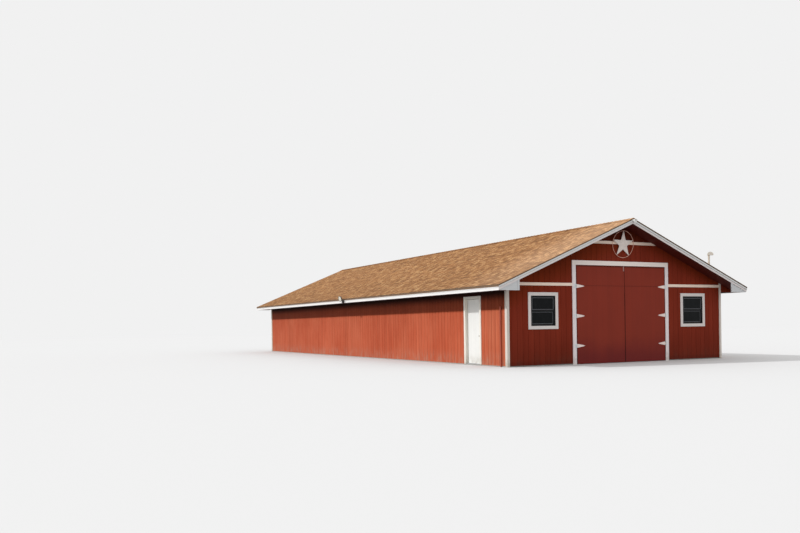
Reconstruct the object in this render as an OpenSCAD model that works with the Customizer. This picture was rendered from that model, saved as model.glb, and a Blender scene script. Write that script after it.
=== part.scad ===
// Timber-framed gable barn with grooved plywood siding, a pair of strap-hinged barn doors,
// a walk door in the side wall, boxed eaves and a shingled roof.
// X runs across the front, Y from front to back, Z up. The origin is on the ground under the middle.

/* [Building] */
// Width over the side walls' siding
barn_w = 8840; // [8400:10:9600]
// Length over the end walls' siding
barn_l = 22360; // [14000:10:30000]
// Height of the side walls' top plate above the ground
plate_h = 2540; // [2480:5:3000]
// Thickness of a framed wall with its siding
wall_t = 116; // [110:1:200]
// Height of the floor slab above the ground
slab_h = 30; // [15:1:80]

/* [Siding] */
// Distance from one groove of the siding to the next
groove_pitch = 203; // [100:1:400]
// Width of a siding groove
groove_w = 10; // [4:1:20]
// Depth of a siding groove
groove_d = 7; // [3:1:12]
// Thickness of the siding sheets that close the eave boxes
siding_t = 16; // [9:1:25]

/* [Roof] */
// Slope of the roof in degrees
roof_angle = 22.6; // [18:0.1:26]
// Reach of the eaves beyond the side walls, to the face of the fascia
eave_reach = 645; // [300:5:800]
// Reach of the roof beyond the end walls, to the face of the rake boards
rake_reach = 568; // [200:4:800]
// Thickness of the roof deck
deck_t = 24; // [9:1:30]
// Thickness of the shingles, two layers on one another
shingle_t = 20; // [6:1:30]
// How far the shingles hang past the fascia and rake boards
drip = 15; // [5:1:40]
// Depth of a rafter, square to the roof
rafter_d = 140; // [120:1:235]
// Thickness of a rafter
rafter_t = 38; // [30:1:60]
// Distance from one pair of rafters to the next
rafter_pitch = 1220; // [600:10:2000]
// Length of the seat that a rafter's notch has on the top plate
seat_l = 90; // [40:1:110]
// Depth of the ridge beam
ridge_beam_d = 184; // [160:1:300]
// Height of the collar ties' lower edge above the ground
tie_z = 3450; // [3300:10:3600]
// Depth of a collar tie
tie_d = 140; // [90:1:200]
// Width of the ridge cap on each slope
cap_w = 150; // [100:1:250]
// Thickness of the ridge cap
cap_t = 14; // [5:1:20]

/* [Eaves and rakes] */
// Height of a fascia board
fascia_h = 132; // [120:1:200]
// Width of a rake board, square to the roof
rake_w = 136; // [115:1:200]
// Thickness of the fascia, rake and casing boards
board_t = 19; // [12:1:30]
// Height of the shingle strip along the top of fascia and rake boards
strip_h = 70; // [20:1:80]
// Thickness of the shingle strip
strip_t = 12; // [6:1:20]
// Thickness of a soffit board
soffit_t = 10; // [6:1:16]
// How far the fascia hangs below the eave soffit
fascia_drop = 15; // [5:1:25]
// Depth of the framing inside the rake overhang, square to the roof
lookout_d = 89; // [60:1:105]
// How far an eave return reaches in past the side wall's face
return_in = 76; // [40:1:200]
// Width of the upright strip at an eave return's inner end
return_strip_w = 62; // [30:1:90]

/* [Trim boards] */
// Width of a corner board on the end wall
corner_front_w = 89; // [60:1:140]
// Width of a corner board on the side wall
corner_side_w = 85; // [60:1:140]
// Height of a band board
band_h = 90; // [60:1:140]
// How far the lower band boards' foot is below the top plate
band_drop = 110; // [100:1:200]
// How far the gable band board's foot is below the peak of the sloping soffit
gable_band_drop = 614; // [450:1:700]

/* [Barn doors] */
// Width of the barn doorway
doorway_w = 3704; // [3000:2:4200]
// Height of the barn doorway's head above the ground
doorway_h = 3085; // [2900:5:3200]
// Where the two doors meet, to the right of the middle
meet_x = 100; // [-200:5:200]
// Thickness of a door's face panel
panel_t = 16; // [10:1:25]
// Thickness of the frame behind the face panel
frame_t = 38; // [25:1:50]
// Width of the boards of the door frame
frame_w = 140; // [90:1:200]
// Height of the joint between the two sheets of a door's face
panel_joint_z = 2440; // [1900:10:2600]
// Gap between a door and the boards around it
door_gap = 8; // [6:1:15]
// Gap below the barn doors
door_clear = 14; // [6:1:30]
// Width of the door stops
stop_w = 25; // [15:1:40]
// Width of the casing boards round the doorway
casing_w = 140; // [90:1:200]

/* [Strap hinges] */
// Reach of a strap over the door
strap_l = 322; // [200:1:600]
// Height of a strap at its root
strap_h = 120; // [90:1:160]
// Height of a strap where its point begins
strap_tip_h = 40; // [20:1:80]
// Length of the strap's point
strap_tip_l = 60; // [30:1:100]
// Thickness of the strap and of its plate
strap_t = 6; // [4:1:8]
// Width of the hinge plate on the casing
plate_w = 60; // [40:1:80]
// Radius of the hinge knuckles
knuckle_r = 11; // [9:0.5:14]
// Radius of the hinge pin
pin_r = 5; // [3:0.5:6]
// Height of the lowest hinge above the ground
hinge_z = 575; // [300:5:700]
// Distance from one hinge up to the next
hinge_step = 925; // [700:5:1050]

/* [Walk door] */
// Distance of the walk door's front edge from the front wall's face
walk_y = 1500; // [1200:5:6000]
// Width of the walk door
walk_w = 813; // [700:1:915]
// Height of the walk door
walk_h = 2032; // [1900:1:2040]
// Thickness of the walk door
walk_t = 44; // [35:1:50]
// Thickness of the walk door's jambs
jamb_t = 19; // [15:1:30]
// Gap round the walk door
walk_gap = 7; // [5:1:10]
// Width of the walk door's casing
walk_casing_w = 90; // [60:1:95]
// Height of the knob above the floor
knob_z = 890; // [800:5:1000]

/* [Windows] */
// Width and height of a window
window_s = 914; // [700:1:1000]
// Distance of a window's middle from the middle of the front
window_x = 3105; // [2950:5:3300]
// How far a window's middle is below the foot of the band boards
window_drop = 763; // [600:1:1000]
// Width of the window casing
window_casing_w = 100; // [60:1:120]
// Width of the window's own frame
window_frame_w = 42; // [30:1:60]
// Depth of the window's own frame
window_frame_d = 75; // [50:1:100]
// Thickness of the glass
glass_t = 6; // [4:1:10]

/* [Star] */
// Radius of the star's ring, to the middle of the rod
star_r = 428; // [250:1:480]
// Radius of the ring's rod
star_rod_r = 8; // [5:0.5:12]
// Height of the star's ridge above the rim
star_rise = 45; // [20:1:80]
// Distance of the star to the right of the middle
star_x = 45; // [-100:5:100]
// How far the star's middle is above the foot of the gable band board
star_lift = 3; // [-60:1:80]
// How far the star's head leans out from the wall, in degrees
star_lean = 4.5; // [0:0.5:6]

/* [Fittings] */
// Radius of the service mast
mast_r = 36; // [20:1:45]
// Height of the service mast's neck above the ground, where its hood begins
mast_top = 3590; // [3300:10:4200]
// Distance of the service mast behind the front wall's face
mast_y = 510; // [400:10:900]
// Height of the meter box's top above the ground
meter_top = 1750; // [1500:10:2000]
// Height of the meter box
meter_h = 420; // [300:10:600]
// Width of the meter box
meter_w = 280; // [200:10:400]
// Depth of the meter box
meter_d = 130; // [90:5:200]
// Radius of the conduit on the side wall
conduit_r = 20; // [15:1:40]
// Height of the conduit
conduit_h = 1810; // [1000:10:2100]
// Distance of the conduit behind the front wall's face
conduit_y = 300; // [150:10:700]
// Distance of the eave lamp behind the front wall's face
lamp_y = 10800; // [2000:10:13000]

/* [Hidden] */
$fn = 48;

red = "#8a2b22";
door_red = "#7a2620";
white = "#e8e4dc";
timber = "#b08a5c";
shingle = "#a5764a";
concrete = "#a9a59c";
steel = "#b9bcc0";
dark = "#24262a";

half_w = barn_w / 2;
front_y = -barn_l / 2;
back_y = barn_l / 2;
inner_front_y = front_y + wall_t;
inner_back_y = back_y - wall_t;
inner_half_w = half_w - wall_t;
slope = tan(roof_angle);
pitch_cos = cos(roof_angle);

// The underside of the deck passes over the plate so that a rafter's notch has its seat there.
deck_under_0 = plate_h + slope * (half_w - seat_l) + rafter_d / pitch_cos;
shingle_under_0 = deck_under_0 + deck_t / pitch_cos;
roof_top_0 = shingle_under_0 + shingle_t / pitch_cos;
rafter_under_0 = deck_under_0 - rafter_d / pitch_cos;
lookout_under_0 = deck_under_0 - lookout_d / pitch_cos;
rake_soffit_0 = lookout_under_0 - soffit_t / pitch_cos;
rake_under_0 = shingle_under_0 - rake_w / pitch_cos;

// Sloping faces lie this far from what they rest on
fit = 0.2;
carried_0 = deck_under_0 - fit / pitch_cos;
board_top_0 = rake_soffit_0 - fit / pitch_cos;
rake_top_0 = shingle_under_0 - fit / pitch_cos;
cap_under_0 = roof_top_0 + fit / pitch_cos;

band_z = plate_h - band_drop;
window_z = band_z - window_drop;
gable_band_z = rake_soffit_0 - gable_band_drop;
star_z = gable_band_z + star_lift;

fascia_x = half_w + eave_reach;
fascia_in = fascia_x - board_t;
fascia_z = deck_under_0 - slope * fascia_x - fascia_h;
soffit_z = fascia_z + fascia_drop;
rake_y = front_y - rake_reach;
rake_in = rake_y + board_t + strip_t;
mitre = 1;

mast_x = half_w + mast_r + 15;

rafter_run = inner_back_y - inner_front_y - rafter_t;
rafter_bays = round(rafter_run / rafter_pitch);

leaf_t = panel_t + frame_t;
leaf_face_y = front_y - board_t;
leaf_back_y = leaf_face_y + leaf_t;
leaf_top = doorway_h - door_gap;
axis_x = doorway_w / 2 - door_gap / 2;
axis_y = leaf_face_y - strap_t - knuckle_r + 1;
knuckle_h = strap_h / 3;
knuckle_gap = 1;
running_gap = 0.06;
root_gap = knuckle_r + 6;
meet_gap = 10;

walk_front = front_y + walk_y;
walk_back = walk_front + walk_w;
walk_jamb_front = walk_front - walk_gap;
walk_jamb_back = walk_back + walk_gap;
walk_bottom = slab_h + walk_gap + 5;
walk_stop_gap = 6;
walk_stop_w = 35;
walk_stop_t = 12;
walk_sill_h = 22;
walk_top = walk_bottom + walk_h;
walk_head_z = walk_top + walk_gap;
walk_in_x = -inner_half_w;
walk_out_x = walk_in_x - walk_t;
butt_t = 3;
butt_r = 6;
butt_pin_r = 2.5;
butt_h = 90;
butt_w = 30;
butt_x = walk_in_x + butt_t + butt_r - 1;
butt_y = walk_back + walk_gap / 2;

// Height of the underside of a layer, from its height at the ridge
function at(z0, x) = z0 - slope * abs(x);

// A shape drawn in X and Z, from y0 to y0 + t
module along_y(y0, t) {
    translate([0, y0 + t, 0]) rotate([90, 0, 0]) linear_extrude(t) children();
}

// A box from one corner to the opposite one
module block(low, high) {
    translate(low) cube(high - low);
}

// A round bar from one place to another
module bar(from, to, r) {
    run = to - from;
    reach = sqrt(run[0] * run[0] + run[1] * run[1]);
    translate(from) rotate([0, atan2(reach, run[2]), atan2(run[1], run[0])])
        cylinder(r = r, h = sqrt(reach * reach + run[2] * run[2]));
}

module both_sides() {
    children();
    mirror([1, 0, 0]) children();
}

module both_ends() {
    children();
    mirror([0, 1, 0]) children();
}

// A sloping strip of the right half of the roof, between two heights given at the ridge
module slope_strip(x0, x1, under_0, over_0) {
    polygon([[x0, at(under_0, x0)], [x1, at(under_0, x1)], [x1, at(over_0, x1)], [x0, at(over_0, x0)]]);
}

// Grooves in the front wall's face; the back wall's are the same, seen in a mirror
module front_grooves() {
    last = floor(half_w / groove_pitch);
    for (k = [-last : last])
        block([k * groove_pitch - groove_w / 2, front_y - 1, -1],
            [k * groove_pitch + groove_w / 2, front_y + groove_d, roof_top_0]);
}

// Grooves in the right wall's face between two places along it
module side_grooves(y0, y1) {
    for (k = [ceil((y0 + groove_w) / groove_pitch) : floor((y1 - groove_w) / groove_pitch)])
        block([half_w - groove_d, k * groove_pitch - groove_w / 2, -1],
            [half_w + 1, k * groove_pitch + groove_w / 2, plate_h + 1]);
}

module gable_outline() {
    polygon([[-half_w, slab_h], [half_w, slab_h], [half_w, at(carried_0, half_w)], [0, carried_0],
        [-half_w, at(carried_0, half_w)]]);
}

module floor_slab() {
    color(concrete) difference() {
        block([-half_w, front_y, 0], [half_w, back_y, slab_h]);
        // The barn doors hang down in front of the slab
        block([-doorway_w / 2, front_y - 1, -1], [doorway_w / 2, leaf_back_y + door_gap, slab_h + 1]);
    }
}

// The front wall between two places across it, from z0 up
module front_wall_part(x0, x1, z0) {
    color(red) difference() {
        along_y(front_y, wall_t) intersection() {
            gable_outline();
            translate([x0, z0]) square([x1 - x0, roof_top_0]);
        }
        front_grooves();
        both_sides() window_hole();
    }
}

module window_hole() {
    block([window_x - window_s / 2, front_y - 1, window_z - window_s / 2],
        [window_x + window_s / 2, inner_front_y + 1, window_z + window_s / 2]);
}

module front_wall_left() { front_wall_part(-half_w, -doorway_w / 2, slab_h); }
module front_wall_right() { front_wall_part(doorway_w / 2, half_w, slab_h); }
module front_gable() { front_wall_part(-doorway_w / 2, doorway_w / 2, doorway_h); }

module back_wall() {
    color(red) mirror([0, 1, 0]) difference() {
        along_y(front_y, wall_t) gable_outline();
        front_grooves();
    }
}

// A side wall between two places along it, drawn on the right
module side_wall_part(y0, y1, z0) {
    color(red) difference() {
        block([inner_half_w, y0, z0], [half_w, y1, plate_h]);
        side_grooves(y0, y1);
    }
}

module right_wall() { side_wall_part(inner_front_y, inner_back_y, slab_h); }

module left_wall_front() {
    mirror([1, 0, 0]) side_wall_part(inner_front_y, walk_jamb_front - jamb_t, slab_h);
}

module left_wall_back() {
    mirror([1, 0, 0]) side_wall_part(walk_jamb_back + jamb_t, inner_back_y, slab_h);
}

module left_wall_header() {
    mirror([1, 0, 0])
        side_wall_part(walk_jamb_front - jamb_t, walk_jamb_back + jamb_t, walk_head_z + jamb_t);
}

// Sheets that close the ends of the eave boxes, flush with the end walls' faces
module eave_box_ends() {
    color(red) both_ends() both_sides() along_y(front_y, siding_t)
        polygon([[half_w, soffit_z], [fascia_in, soffit_z], [fascia_in, at(carried_0, fascia_in)],
            [half_w, at(carried_0, half_w)]]);
}

// L-shaped boards at the four corners, up to the soffits
module corner_boards() {
    face_in = half_w + board_t - corner_front_w;
    face_out = half_w + board_t;
    color(white) both_ends() both_sides() {
        along_y(front_y - board_t, board_t)
            polygon([[face_in, 0], [face_out, 0], [face_out, at(board_top_0, face_out)],
                [face_in, at(board_top_0, face_in)]]);
        block([half_w, front_y - board_t, 0], [face_out, front_y + corner_side_w, soffit_z]);
    }
}

module casing_board(low, high) {
    color(white) block([low[0], front_y - board_t, low[1]], [high[0], front_y, high[1]]);
}

module door_casing_right() {
    casing_board([doorway_w / 2, 0], [doorway_w / 2 + casing_w, doorway_h]);
}

module door_casing_left() { mirror([1, 0, 0]) door_casing_right(); }

module door_casing_head() {
    casing_board([-doorway_w / 2 - casing_w, doorway_h], [doorway_w / 2 + casing_w, doorway_h + casing_w]);
}

// Boards inside the doorway that the barn doors close against
module door_stops() {
    stop_y = leaf_back_y + door_gap - 3;
    color(red) {
        both_sides() block([doorway_w / 2 - stop_w, stop_y, slab_h],
            [doorway_w / 2, inner_front_y, doorway_h]);
        block([-doorway_w / 2 + stop_w + 2, stop_y, doorway_h - stop_w],
            [doorway_w / 2 - stop_w - 2, inner_front_y, doorway_h]);
    }
}

// A board across the gable with its ends cut to the sloping soffit
module gable_band() {
    low_x = (board_top_0 - gable_band_z) / slope;
    high_x = (board_top_0 - gable_band_z - band_h) / slope;
    along_y(front_y - board_t, board_t)
        polygon([[-low_x, gable_band_z], [low_x, gable_band_z], [high_x, gable_band_z + band_h],
            [-high_x, gable_band_z + band_h]]);
}

// Band boards across both ends: on the front the lower ones stop at the doorway's casing
module band_boards() {
    end_x = half_w + board_t - corner_front_w;
    color(white) {
        both_ends() gable_band();
        both_sides() block([doorway_w / 2 + casing_w, front_y - board_t, band_z],
            [end_x, front_y, band_z + band_h]);
        block([-end_x, back_y, band_z], [end_x, back_y + board_t, band_z + band_h]);
    }
}

// Points of a five-pointed star with one arm up
function star_points(r) = [for (k = [0 : 9])
    let (reach = k % 2 == 0 ? r : r * 0.382, turn = 90 + 36 * k) [reach * cos(turn), reach * sin(turn)]];

// The star stands almost on the siding at its foot and leans out over a hanger on the band board
module barn_star() {
    rim_t = 2 * star_rod_r;
    foot_gap = 5;
    hanger_w = 60;
    stand_off = (star_r + star_rod_r) * sin(star_lean) + foot_gap;
    hanger_z = gable_band_z + band_h / 2;
    color(steel) {
        translate([star_x, front_y - stand_off, star_z]) rotate([90 + star_lean, 0, 0]) {
            linear_extrude(rim_t) polygon(star_points(star_r));
            translate([0, 0, rim_t]) linear_extrude(star_rise, scale = 0.02) polygon(star_points(star_r * 0.97));
            translate([0, 0, star_rod_r]) rotate_extrude() translate([star_r, 0]) circle(star_rod_r, $fn = 24);
        }
        block([star_x - hanger_w / 2, front_y - stand_off - rim_t, hanger_z - hanger_w / 2],
            [star_x + hanger_w / 2, front_y - board_t - fit, hanger_z + hanger_w / 2]);
    }
}

// Deck and shingles of the right slope, with a hole for the mast where it passes through
module roof_slope() {
    color(shingle) {
        // The deck reaches a little way into the shingles, so that the two are one solid
        along_y(rake_in, barn_l + 2 * (front_y - rake_in))
            slope_strip(0, fascia_x, deck_under_0, shingle_under_0 + shingle_t / 2);
        along_y(rake_y - drip, barn_l + 2 * (rake_reach + drip))
            slope_strip(0, fascia_x + drip, shingle_under_0, roof_top_0);
    }
}

module roof_left() { mirror([1, 0, 0]) roof_slope(); }

module roof_right() {
    color(shingle) difference() {
        roof_slope();
        mast_hole();
    }
}

module ridge_cap() {
    cap_v = cap_t / pitch_cos;
    color(shingle) along_y(rake_y - drip, barn_l + 2 * (rake_reach + drip))
        polygon([[0, cap_under_0], [cap_w, at(cap_under_0, cap_w)], [cap_w, at(cap_under_0 + cap_v, cap_w)],
            [0, cap_under_0 + cap_v], [-cap_w, at(cap_under_0 + cap_v, cap_w)],
            [-cap_w, at(cap_under_0, cap_w)]]);
}

// Fascia boards with the strip under the shingles' edge
module fascias() {
    color(white) both_sides() along_y(rake_in, barn_l + 2 * (front_y - rake_in)) {
        polygon([[fascia_in, fascia_z], [fascia_x, fascia_z], [fascia_x, at(carried_0, fascia_x)],
            [fascia_in, at(carried_0, fascia_in)]]);
        translate([fascia_x, at(rake_top_0, fascia_x + strip_t) - strip_h]) square([strip_t, strip_h]);
    }
}

// Rake boards with the strip under the shingles' edge, and a hairline mitre at the ridge
module rake_boards() {
    color(white) both_ends() both_sides() {
        along_y(rake_y + strip_t, board_t) slope_strip(mitre, fascia_x, rake_under_0, rake_top_0);
        along_y(rake_y, strip_t)
            slope_strip(mitre, fascia_x + strip_t, rake_top_0 - strip_h / pitch_cos, rake_top_0);
    }
}

module eave_soffits() {
    color(red) both_sides() difference() {
        block([half_w, front_y + siding_t, soffit_z], [fascia_in, back_y - siding_t, soffit_z + soffit_t]);
        mast_hole();
    }
}

module rake_soffits() {
    color(red) both_ends() both_sides() along_y(rake_in, front_y - rake_in)
        slope_strip(mitre, fascia_in, rake_soffit_0, lookout_under_0);
}

// Triangular plates that close the rake overhang at the eaves, with an upright strip at the inner end
module eave_returns() {
    inner_x = half_w - return_in;
    strip_x = inner_x + return_strip_w;
    strip_top_0 = rake_under_0 - fit / pitch_cos;
    color(white) both_ends() both_sides() {
        along_y(rake_in, board_t)
            polygon([[inner_x, fascia_z], [fascia_in, fascia_z], [fascia_in, at(board_top_0, fascia_in)],
                [inner_x, at(board_top_0, inner_x)]]);
        along_y(rake_in - strip_t, strip_t + 1)
            polygon([[inner_x, fascia_z], [strip_x, fascia_z], [strip_x, at(strip_top_0, strip_x)],
                [inner_x, at(strip_top_0, inner_x)]]);
    }
}

// The outline of a rafter: notched over the plate, with its tail cut level above the soffit
module rafter_outline() {
    difference() {
        intersection() {
            slope_strip(rafter_t / 2, fascia_in, rafter_under_0, carried_0);
            translate([0, soffit_z + soffit_t]) square([fascia_in + 1, roof_top_0]);
        }
        translate([inner_half_w - 1, 0]) square([wall_t + 1, plate_h]);
    }
}

// The rafter pairs stand evenly from one end wall to the other
function rafter_places() = [for (k = [0 : rafter_bays]) inner_front_y + k * rafter_run / rafter_bays];

module rafters() {
    color(timber) both_sides() for (y = rafter_places()) along_y(y, rafter_t) rafter_outline();
}

module ridge_beam() {
    top_z = at(carried_0, rafter_t / 2);
    color(timber) block([-rafter_t / 2, inner_front_y, top_z - ridge_beam_d],
        [rafter_t / 2, inner_back_y, top_z]);
}

// A tie nailed to the side of every rafter pair
module collar_ties() {
    low_x = (carried_0 - tie_z - tie_d) / slope;
    color(timber) for (k = [0 : rafter_bays - 1]) along_y(rafter_places()[k] + rafter_t, board_t)
        translate([-low_x, tie_z]) square([2 * low_x, tie_d]);
}

module at_windows() {
    both_sides() translate([window_x, front_y, window_z]) children();
}

// A square ring in X and Z round the origin
module square_ring(inner, outer) {
    difference() {
        square(outer, center = true);
        square(inner, center = true);
    }
}

module window_casings() {
    color(white) at_windows() along_y(-board_t, board_t)
        square_ring(window_s, window_s + 2 * window_casing_w);
}

module window_frames() {
    color(dark) at_windows() along_y(0, window_frame_d) {
        square_ring(window_s - 2 * window_frame_w, window_s);
        square([window_s - 2 * window_frame_w, window_frame_w], center = true);
    }
}

// Upper and lower panes; the lower one sits further in, as its sash slides behind the upper
module window_glass() {
    pane_w = window_s - 2 * window_frame_w;
    pane_h = (pane_w - window_frame_w) / 2;
    color(dark) at_windows() {
        block([-pane_w / 2, window_frame_d / 4, window_frame_w / 2],
            [pane_w / 2, window_frame_d / 4 + glass_t, window_frame_w / 2 + pane_h]);
        block([-pane_w / 2, window_frame_d / 2, -window_frame_w / 2 - pane_h],
            [pane_w / 2, window_frame_d / 2 + glass_t, -window_frame_w / 2]);
    }
}

// Fixed half of a hinge: two outer knuckles with the pin through them, along Z
module fixed_knuckles(radius, height, rod_r) {
    middle = height / 3;
    difference() {
        translate([0, 0, -height / 2]) cylinder(r = radius, h = height);
        translate([0, 0, -middle / 2]) cylinder(r = radius + 1, h = middle);
    }
    translate([0, 0, -height / 2]) cylinder(r = rod_r, h = height);
}

// Moving half of a hinge: the middle knuckle, bored for the pin
module moving_knuckle(radius, height, rod_r) {
    middle = height / 3 - 2 * knuckle_gap;
    translate([0, 0, -middle / 2]) difference() {
        cylinder(r = radius, h = middle);
        translate([0, 0, -1]) cylinder(r = rod_r + running_gap, h = middle + 2);
    }
}

module at_hinges() {
    for (k = [0 : 2]) translate([axis_x, axis_y, hinge_z + k * hinge_step]) children();
}

// Hinge plates on the casing, with the outer knuckles of the strap hinges
module hinge_plates() {
    back = leaf_face_y - axis_y;
    color(white) both_sides() at_hinges() {
        difference() {
            union() {
                block([root_gap, back - strap_t, -strap_h / 2], [root_gap + plate_w, back, strap_h / 2]);
                block([0, back - strap_t, -strap_h / 2], [root_gap + 1, back, strap_h / 2]);
            }
            block([-1, -2 * knuckle_r, -knuckle_h / 2], [root_gap, 2 * knuckle_r, knuckle_h / 2]);
            cylinder(r = pin_r, h = strap_h + 2, center = true);
        }
        fixed_knuckles(knuckle_r, strap_h, pin_r);
    }
}

// Outline of a strap in X and Z, reaching from the hinge line over the door
module strap_outline() {
    shoulder = strap_l - strap_tip_l;
    polygon([[-root_gap, -strap_h / 2], [-shoulder, -strap_tip_h / 2], [-strap_l, 0],
        [-shoulder, strap_tip_h / 2], [-root_gap, strap_h / 2]]);
}

module door_straps() {
    back = leaf_face_y - axis_y;
    web_h = knuckle_h - 2 * knuckle_gap;
    color(white) at_hinges() {
        along_y(back - strap_t, strap_t) strap_outline();
        difference() {
            block([-root_gap - 1, back - strap_t, -web_h / 2], [0, back, web_h / 2]);
            cylinder(r = pin_r + running_gap, h = strap_h, center = true);
        }
        moving_knuckle(knuckle_r, strap_h, pin_r);
    }
}

module right_door_ironwork() { door_straps(); }

module left_door_ironwork() {
    mirror([1, 0, 0]) door_straps();
    bolt_x = meet_x - meet_gap / 2 - 25;
    bolt_l = 165;
    color(white) {
        block([bolt_x - 20, leaf_face_y - 4, leaf_top - bolt_l], [bolt_x + 20, leaf_face_y, leaf_top - 5]);
        translate([bolt_x, leaf_face_y - 12, leaf_top - bolt_l + 10]) cylinder(r = 9, h = bolt_l - 15);
    }
}

// A brace board in X and Z between two corners, cut to the space between the rails
module brace(x0, x1, z0, z1) {
    intersection() {
        polygon([[x0, z0 - frame_w / 2], [x0, z0 + frame_w / 2], [x1, z1 + frame_w / 2],
            [x1, z1 - frame_w / 2]]);
        translate([x0, z0]) square([x1 - x0, z1 - z0]);
    }
}

// One door: a face panel in two sheets on a frame of flat boards, with braces behind.
// Drawn with its hinge side at x0; the braces rise from there.
module barn_door(x0, x1) {
    mid_z = panel_joint_z / 2;
    color(door_red) {
        difference() {
            block([x0, leaf_face_y, door_clear], [x1, leaf_face_y + panel_t, leaf_top]);
            block([x0 - 1, leaf_face_y - 1, panel_joint_z - 3],
                [x1 + 1, leaf_face_y + 4, panel_joint_z + 3]);
        }
        along_y(leaf_face_y + panel_t, frame_t) {
            difference() {
                translate([x0, door_clear]) square([x1 - x0, leaf_top - door_clear]);
                translate([x0 + frame_w, door_clear + frame_w])
                    square([x1 - x0 - 2 * frame_w, leaf_top - door_clear - 2 * frame_w]);
            }
            for (z = [mid_z, panel_joint_z])
                translate([x0, z - frame_w / 2]) square([x1 - x0, frame_w]);
            brace(x0 + frame_w - 1, x1 - frame_w + 1, door_clear + frame_w - 1, mid_z - frame_w / 2 + 1);
            brace(x0 + frame_w - 1, x1 - frame_w + 1, mid_z + frame_w / 2 - 1,
                panel_joint_z - frame_w / 2 + 1);
        }
    }
}

module left_barn_door() { barn_door(-doorway_w / 2 + door_gap, meet_x - meet_gap / 2); }

module right_barn_door() {
    mirror([1, 0, 0]) barn_door(-doorway_w / 2 + door_gap, -meet_x - meet_gap / 2);
}

module at_butts() {
    for (part = [0.13, 0.5, 0.87]) translate([butt_x, butt_y, walk_bottom + part * walk_h]) children();
}

// One jamb with its outside casing and its stop, which stands on the sill.
// Side is 1 at the back of the doorway and -1 at the front.
module walk_jamb(y_face, side) {
    stop_x = walk_out_x - walk_stop_gap;
    translate([0, y_face, 0]) mirror([0, side < 0 ? 1 : 0, 0]) {
        block([-half_w, 0, slab_h], [walk_in_x, jamb_t, walk_head_z]);
        block([stop_x - walk_stop_w, -walk_stop_t, slab_h + walk_sill_h], [stop_x, 1, walk_head_z]);
        block([-half_w - board_t, 0, slab_h], [-half_w, walk_casing_w, walk_head_z]);
    }
}

// Fixed leaf of a butt hinge, cut away where the door's knuckle turns
module butt_leaf() {
    face = walk_in_x - butt_x;
    difference() {
        block([face, 0, -butt_h / 2], [face + butt_t, butt_w, butt_h / 2]);
        block([-butt_r - 3, -1, -butt_h / 6], [butt_r + 2, butt_r + 3, butt_h / 6]);
    }
}

module walk_door_jambs() {
    color(white) {
        walk_jamb(walk_jamb_front, -1);
        walk_jamb(walk_jamb_back, 1);
        at_butts() {
            butt_leaf();
            fixed_knuckles(butt_r, butt_h, butt_pin_r);
        }
    }
}

module walk_door_head() {
    color(white) {
        block([-half_w, walk_jamb_front - jamb_t, walk_head_z],
            [walk_in_x, walk_jamb_back + jamb_t, walk_head_z + jamb_t]);
        block([-half_w - board_t, walk_jamb_front - walk_casing_w, walk_head_z],
            [-half_w, walk_jamb_back + walk_casing_w, walk_head_z + walk_casing_w]);
    }
}

module walk_door_sill() {
    color(steel) block([-half_w, walk_jamb_front, slab_h],
        [walk_out_x - walk_stop_gap, walk_jamb_back, slab_h + walk_sill_h]);
}

module walk_door() {
    web = butt_h / 3 - 2 * knuckle_gap;
    color(white) {
        block([walk_out_x, walk_front, walk_bottom], [walk_in_x, walk_back, walk_top]);
        at_butts() difference() {
            union() {
                block([walk_in_x - butt_x, -butt_w, -butt_h / 2],
                    [walk_in_x - butt_x + butt_t, -walk_gap - 1, butt_h / 2]);
                block([walk_in_x - butt_x, -butt_w, -web / 2], [walk_in_x - butt_x + butt_t, 0, web / 2]);
                cylinder(r = butt_r, h = web, center = true);
            }
            cylinder(r = butt_pin_r + running_gap, h = butt_h, center = true);
        }
    }
}

// Knob and dead lock on both faces
module walk_door_knobs() {
    color(steel) translate([0, walk_front + 62, slab_h + knob_z]) {
        translate([walk_out_x, 0, 0]) rotate([0, -90, 0]) knob();
        translate([walk_in_x, 0, 0]) rotate([0, 90, 0]) knob();
        translate([walk_out_x, 0, 140]) rotate([0, -90, 0]) cylinder(r1 = 30, r2 = 26, h = 14);
        translate([walk_in_x, 0, 140]) rotate([0, 90, 0]) cylinder(r1 = 30, r2 = 26, h = 14);
    }
}

module knob() {
    rotate_extrude() polygon([[0, 0], [32, 0], [32, 5], [13, 9], [11, 26], [20, 32], [27, 42], [27, 52],
        [20, 60], [0, 62]]);
}

module mast_hole() {
    translate([mast_x, front_y + mast_y, 0]) cylinder(r = mast_r + 2, h = 2 * roof_top_0);
}

// Hood of the service mast, which juts out to the right and the front and is open underneath
module weather_head() {
    head_w = 110;
    rotate([0, 0, -41]) difference() {
        along_y(-head_w / 2, head_w)
            polygon([[-48, 0], [-48, 55], [-28, 96], [15, 120], [85, 110], [132, 76], [152, 28], [146, 0]]);
        block([mast_r + 8, -head_w / 2 + 14, -1], [132, head_w / 2 - 14, 58]);
    }
}

// Service mast up through the eave, with its hood, roof flange, wall straps and meter box
module service_mast() {
    wall = half_w - mast_x;
    roof_z = at(roof_top_0, mast_x) + fit / pitch_cos;
    flange_w = 220;
    strap_reach = mast_r + 15;
    color(steel) translate([mast_x, front_y + mast_y, 0]) {
        translate([0, 0, meter_top - 20]) cylinder(r = mast_r, h = mast_top - meter_top + 30);
        translate([0, 0, mast_top]) weather_head();
        // Flange on the roof round the mast
        intersection() {
            cylinder(r = flange_w / 2, h = 2 * roof_z);
            along_y(-flange_w / 2, flange_w) polygon([for (p = [[-1, 0], [1, 0], [1, 4], [-1, 4]])
                [p[0] * flange_w / 2, roof_z - p[0] * slope * flange_w / 2 + p[1]]]);
        }
        for (z = [meter_top + 120, soffit_z - 120]) block([wall, -strap_reach, z], [0, strap_reach, z + 30]);
        block([wall, -meter_w / 2, meter_top - meter_h], [wall + meter_d, meter_w / 2, meter_top]);
    }
}

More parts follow.
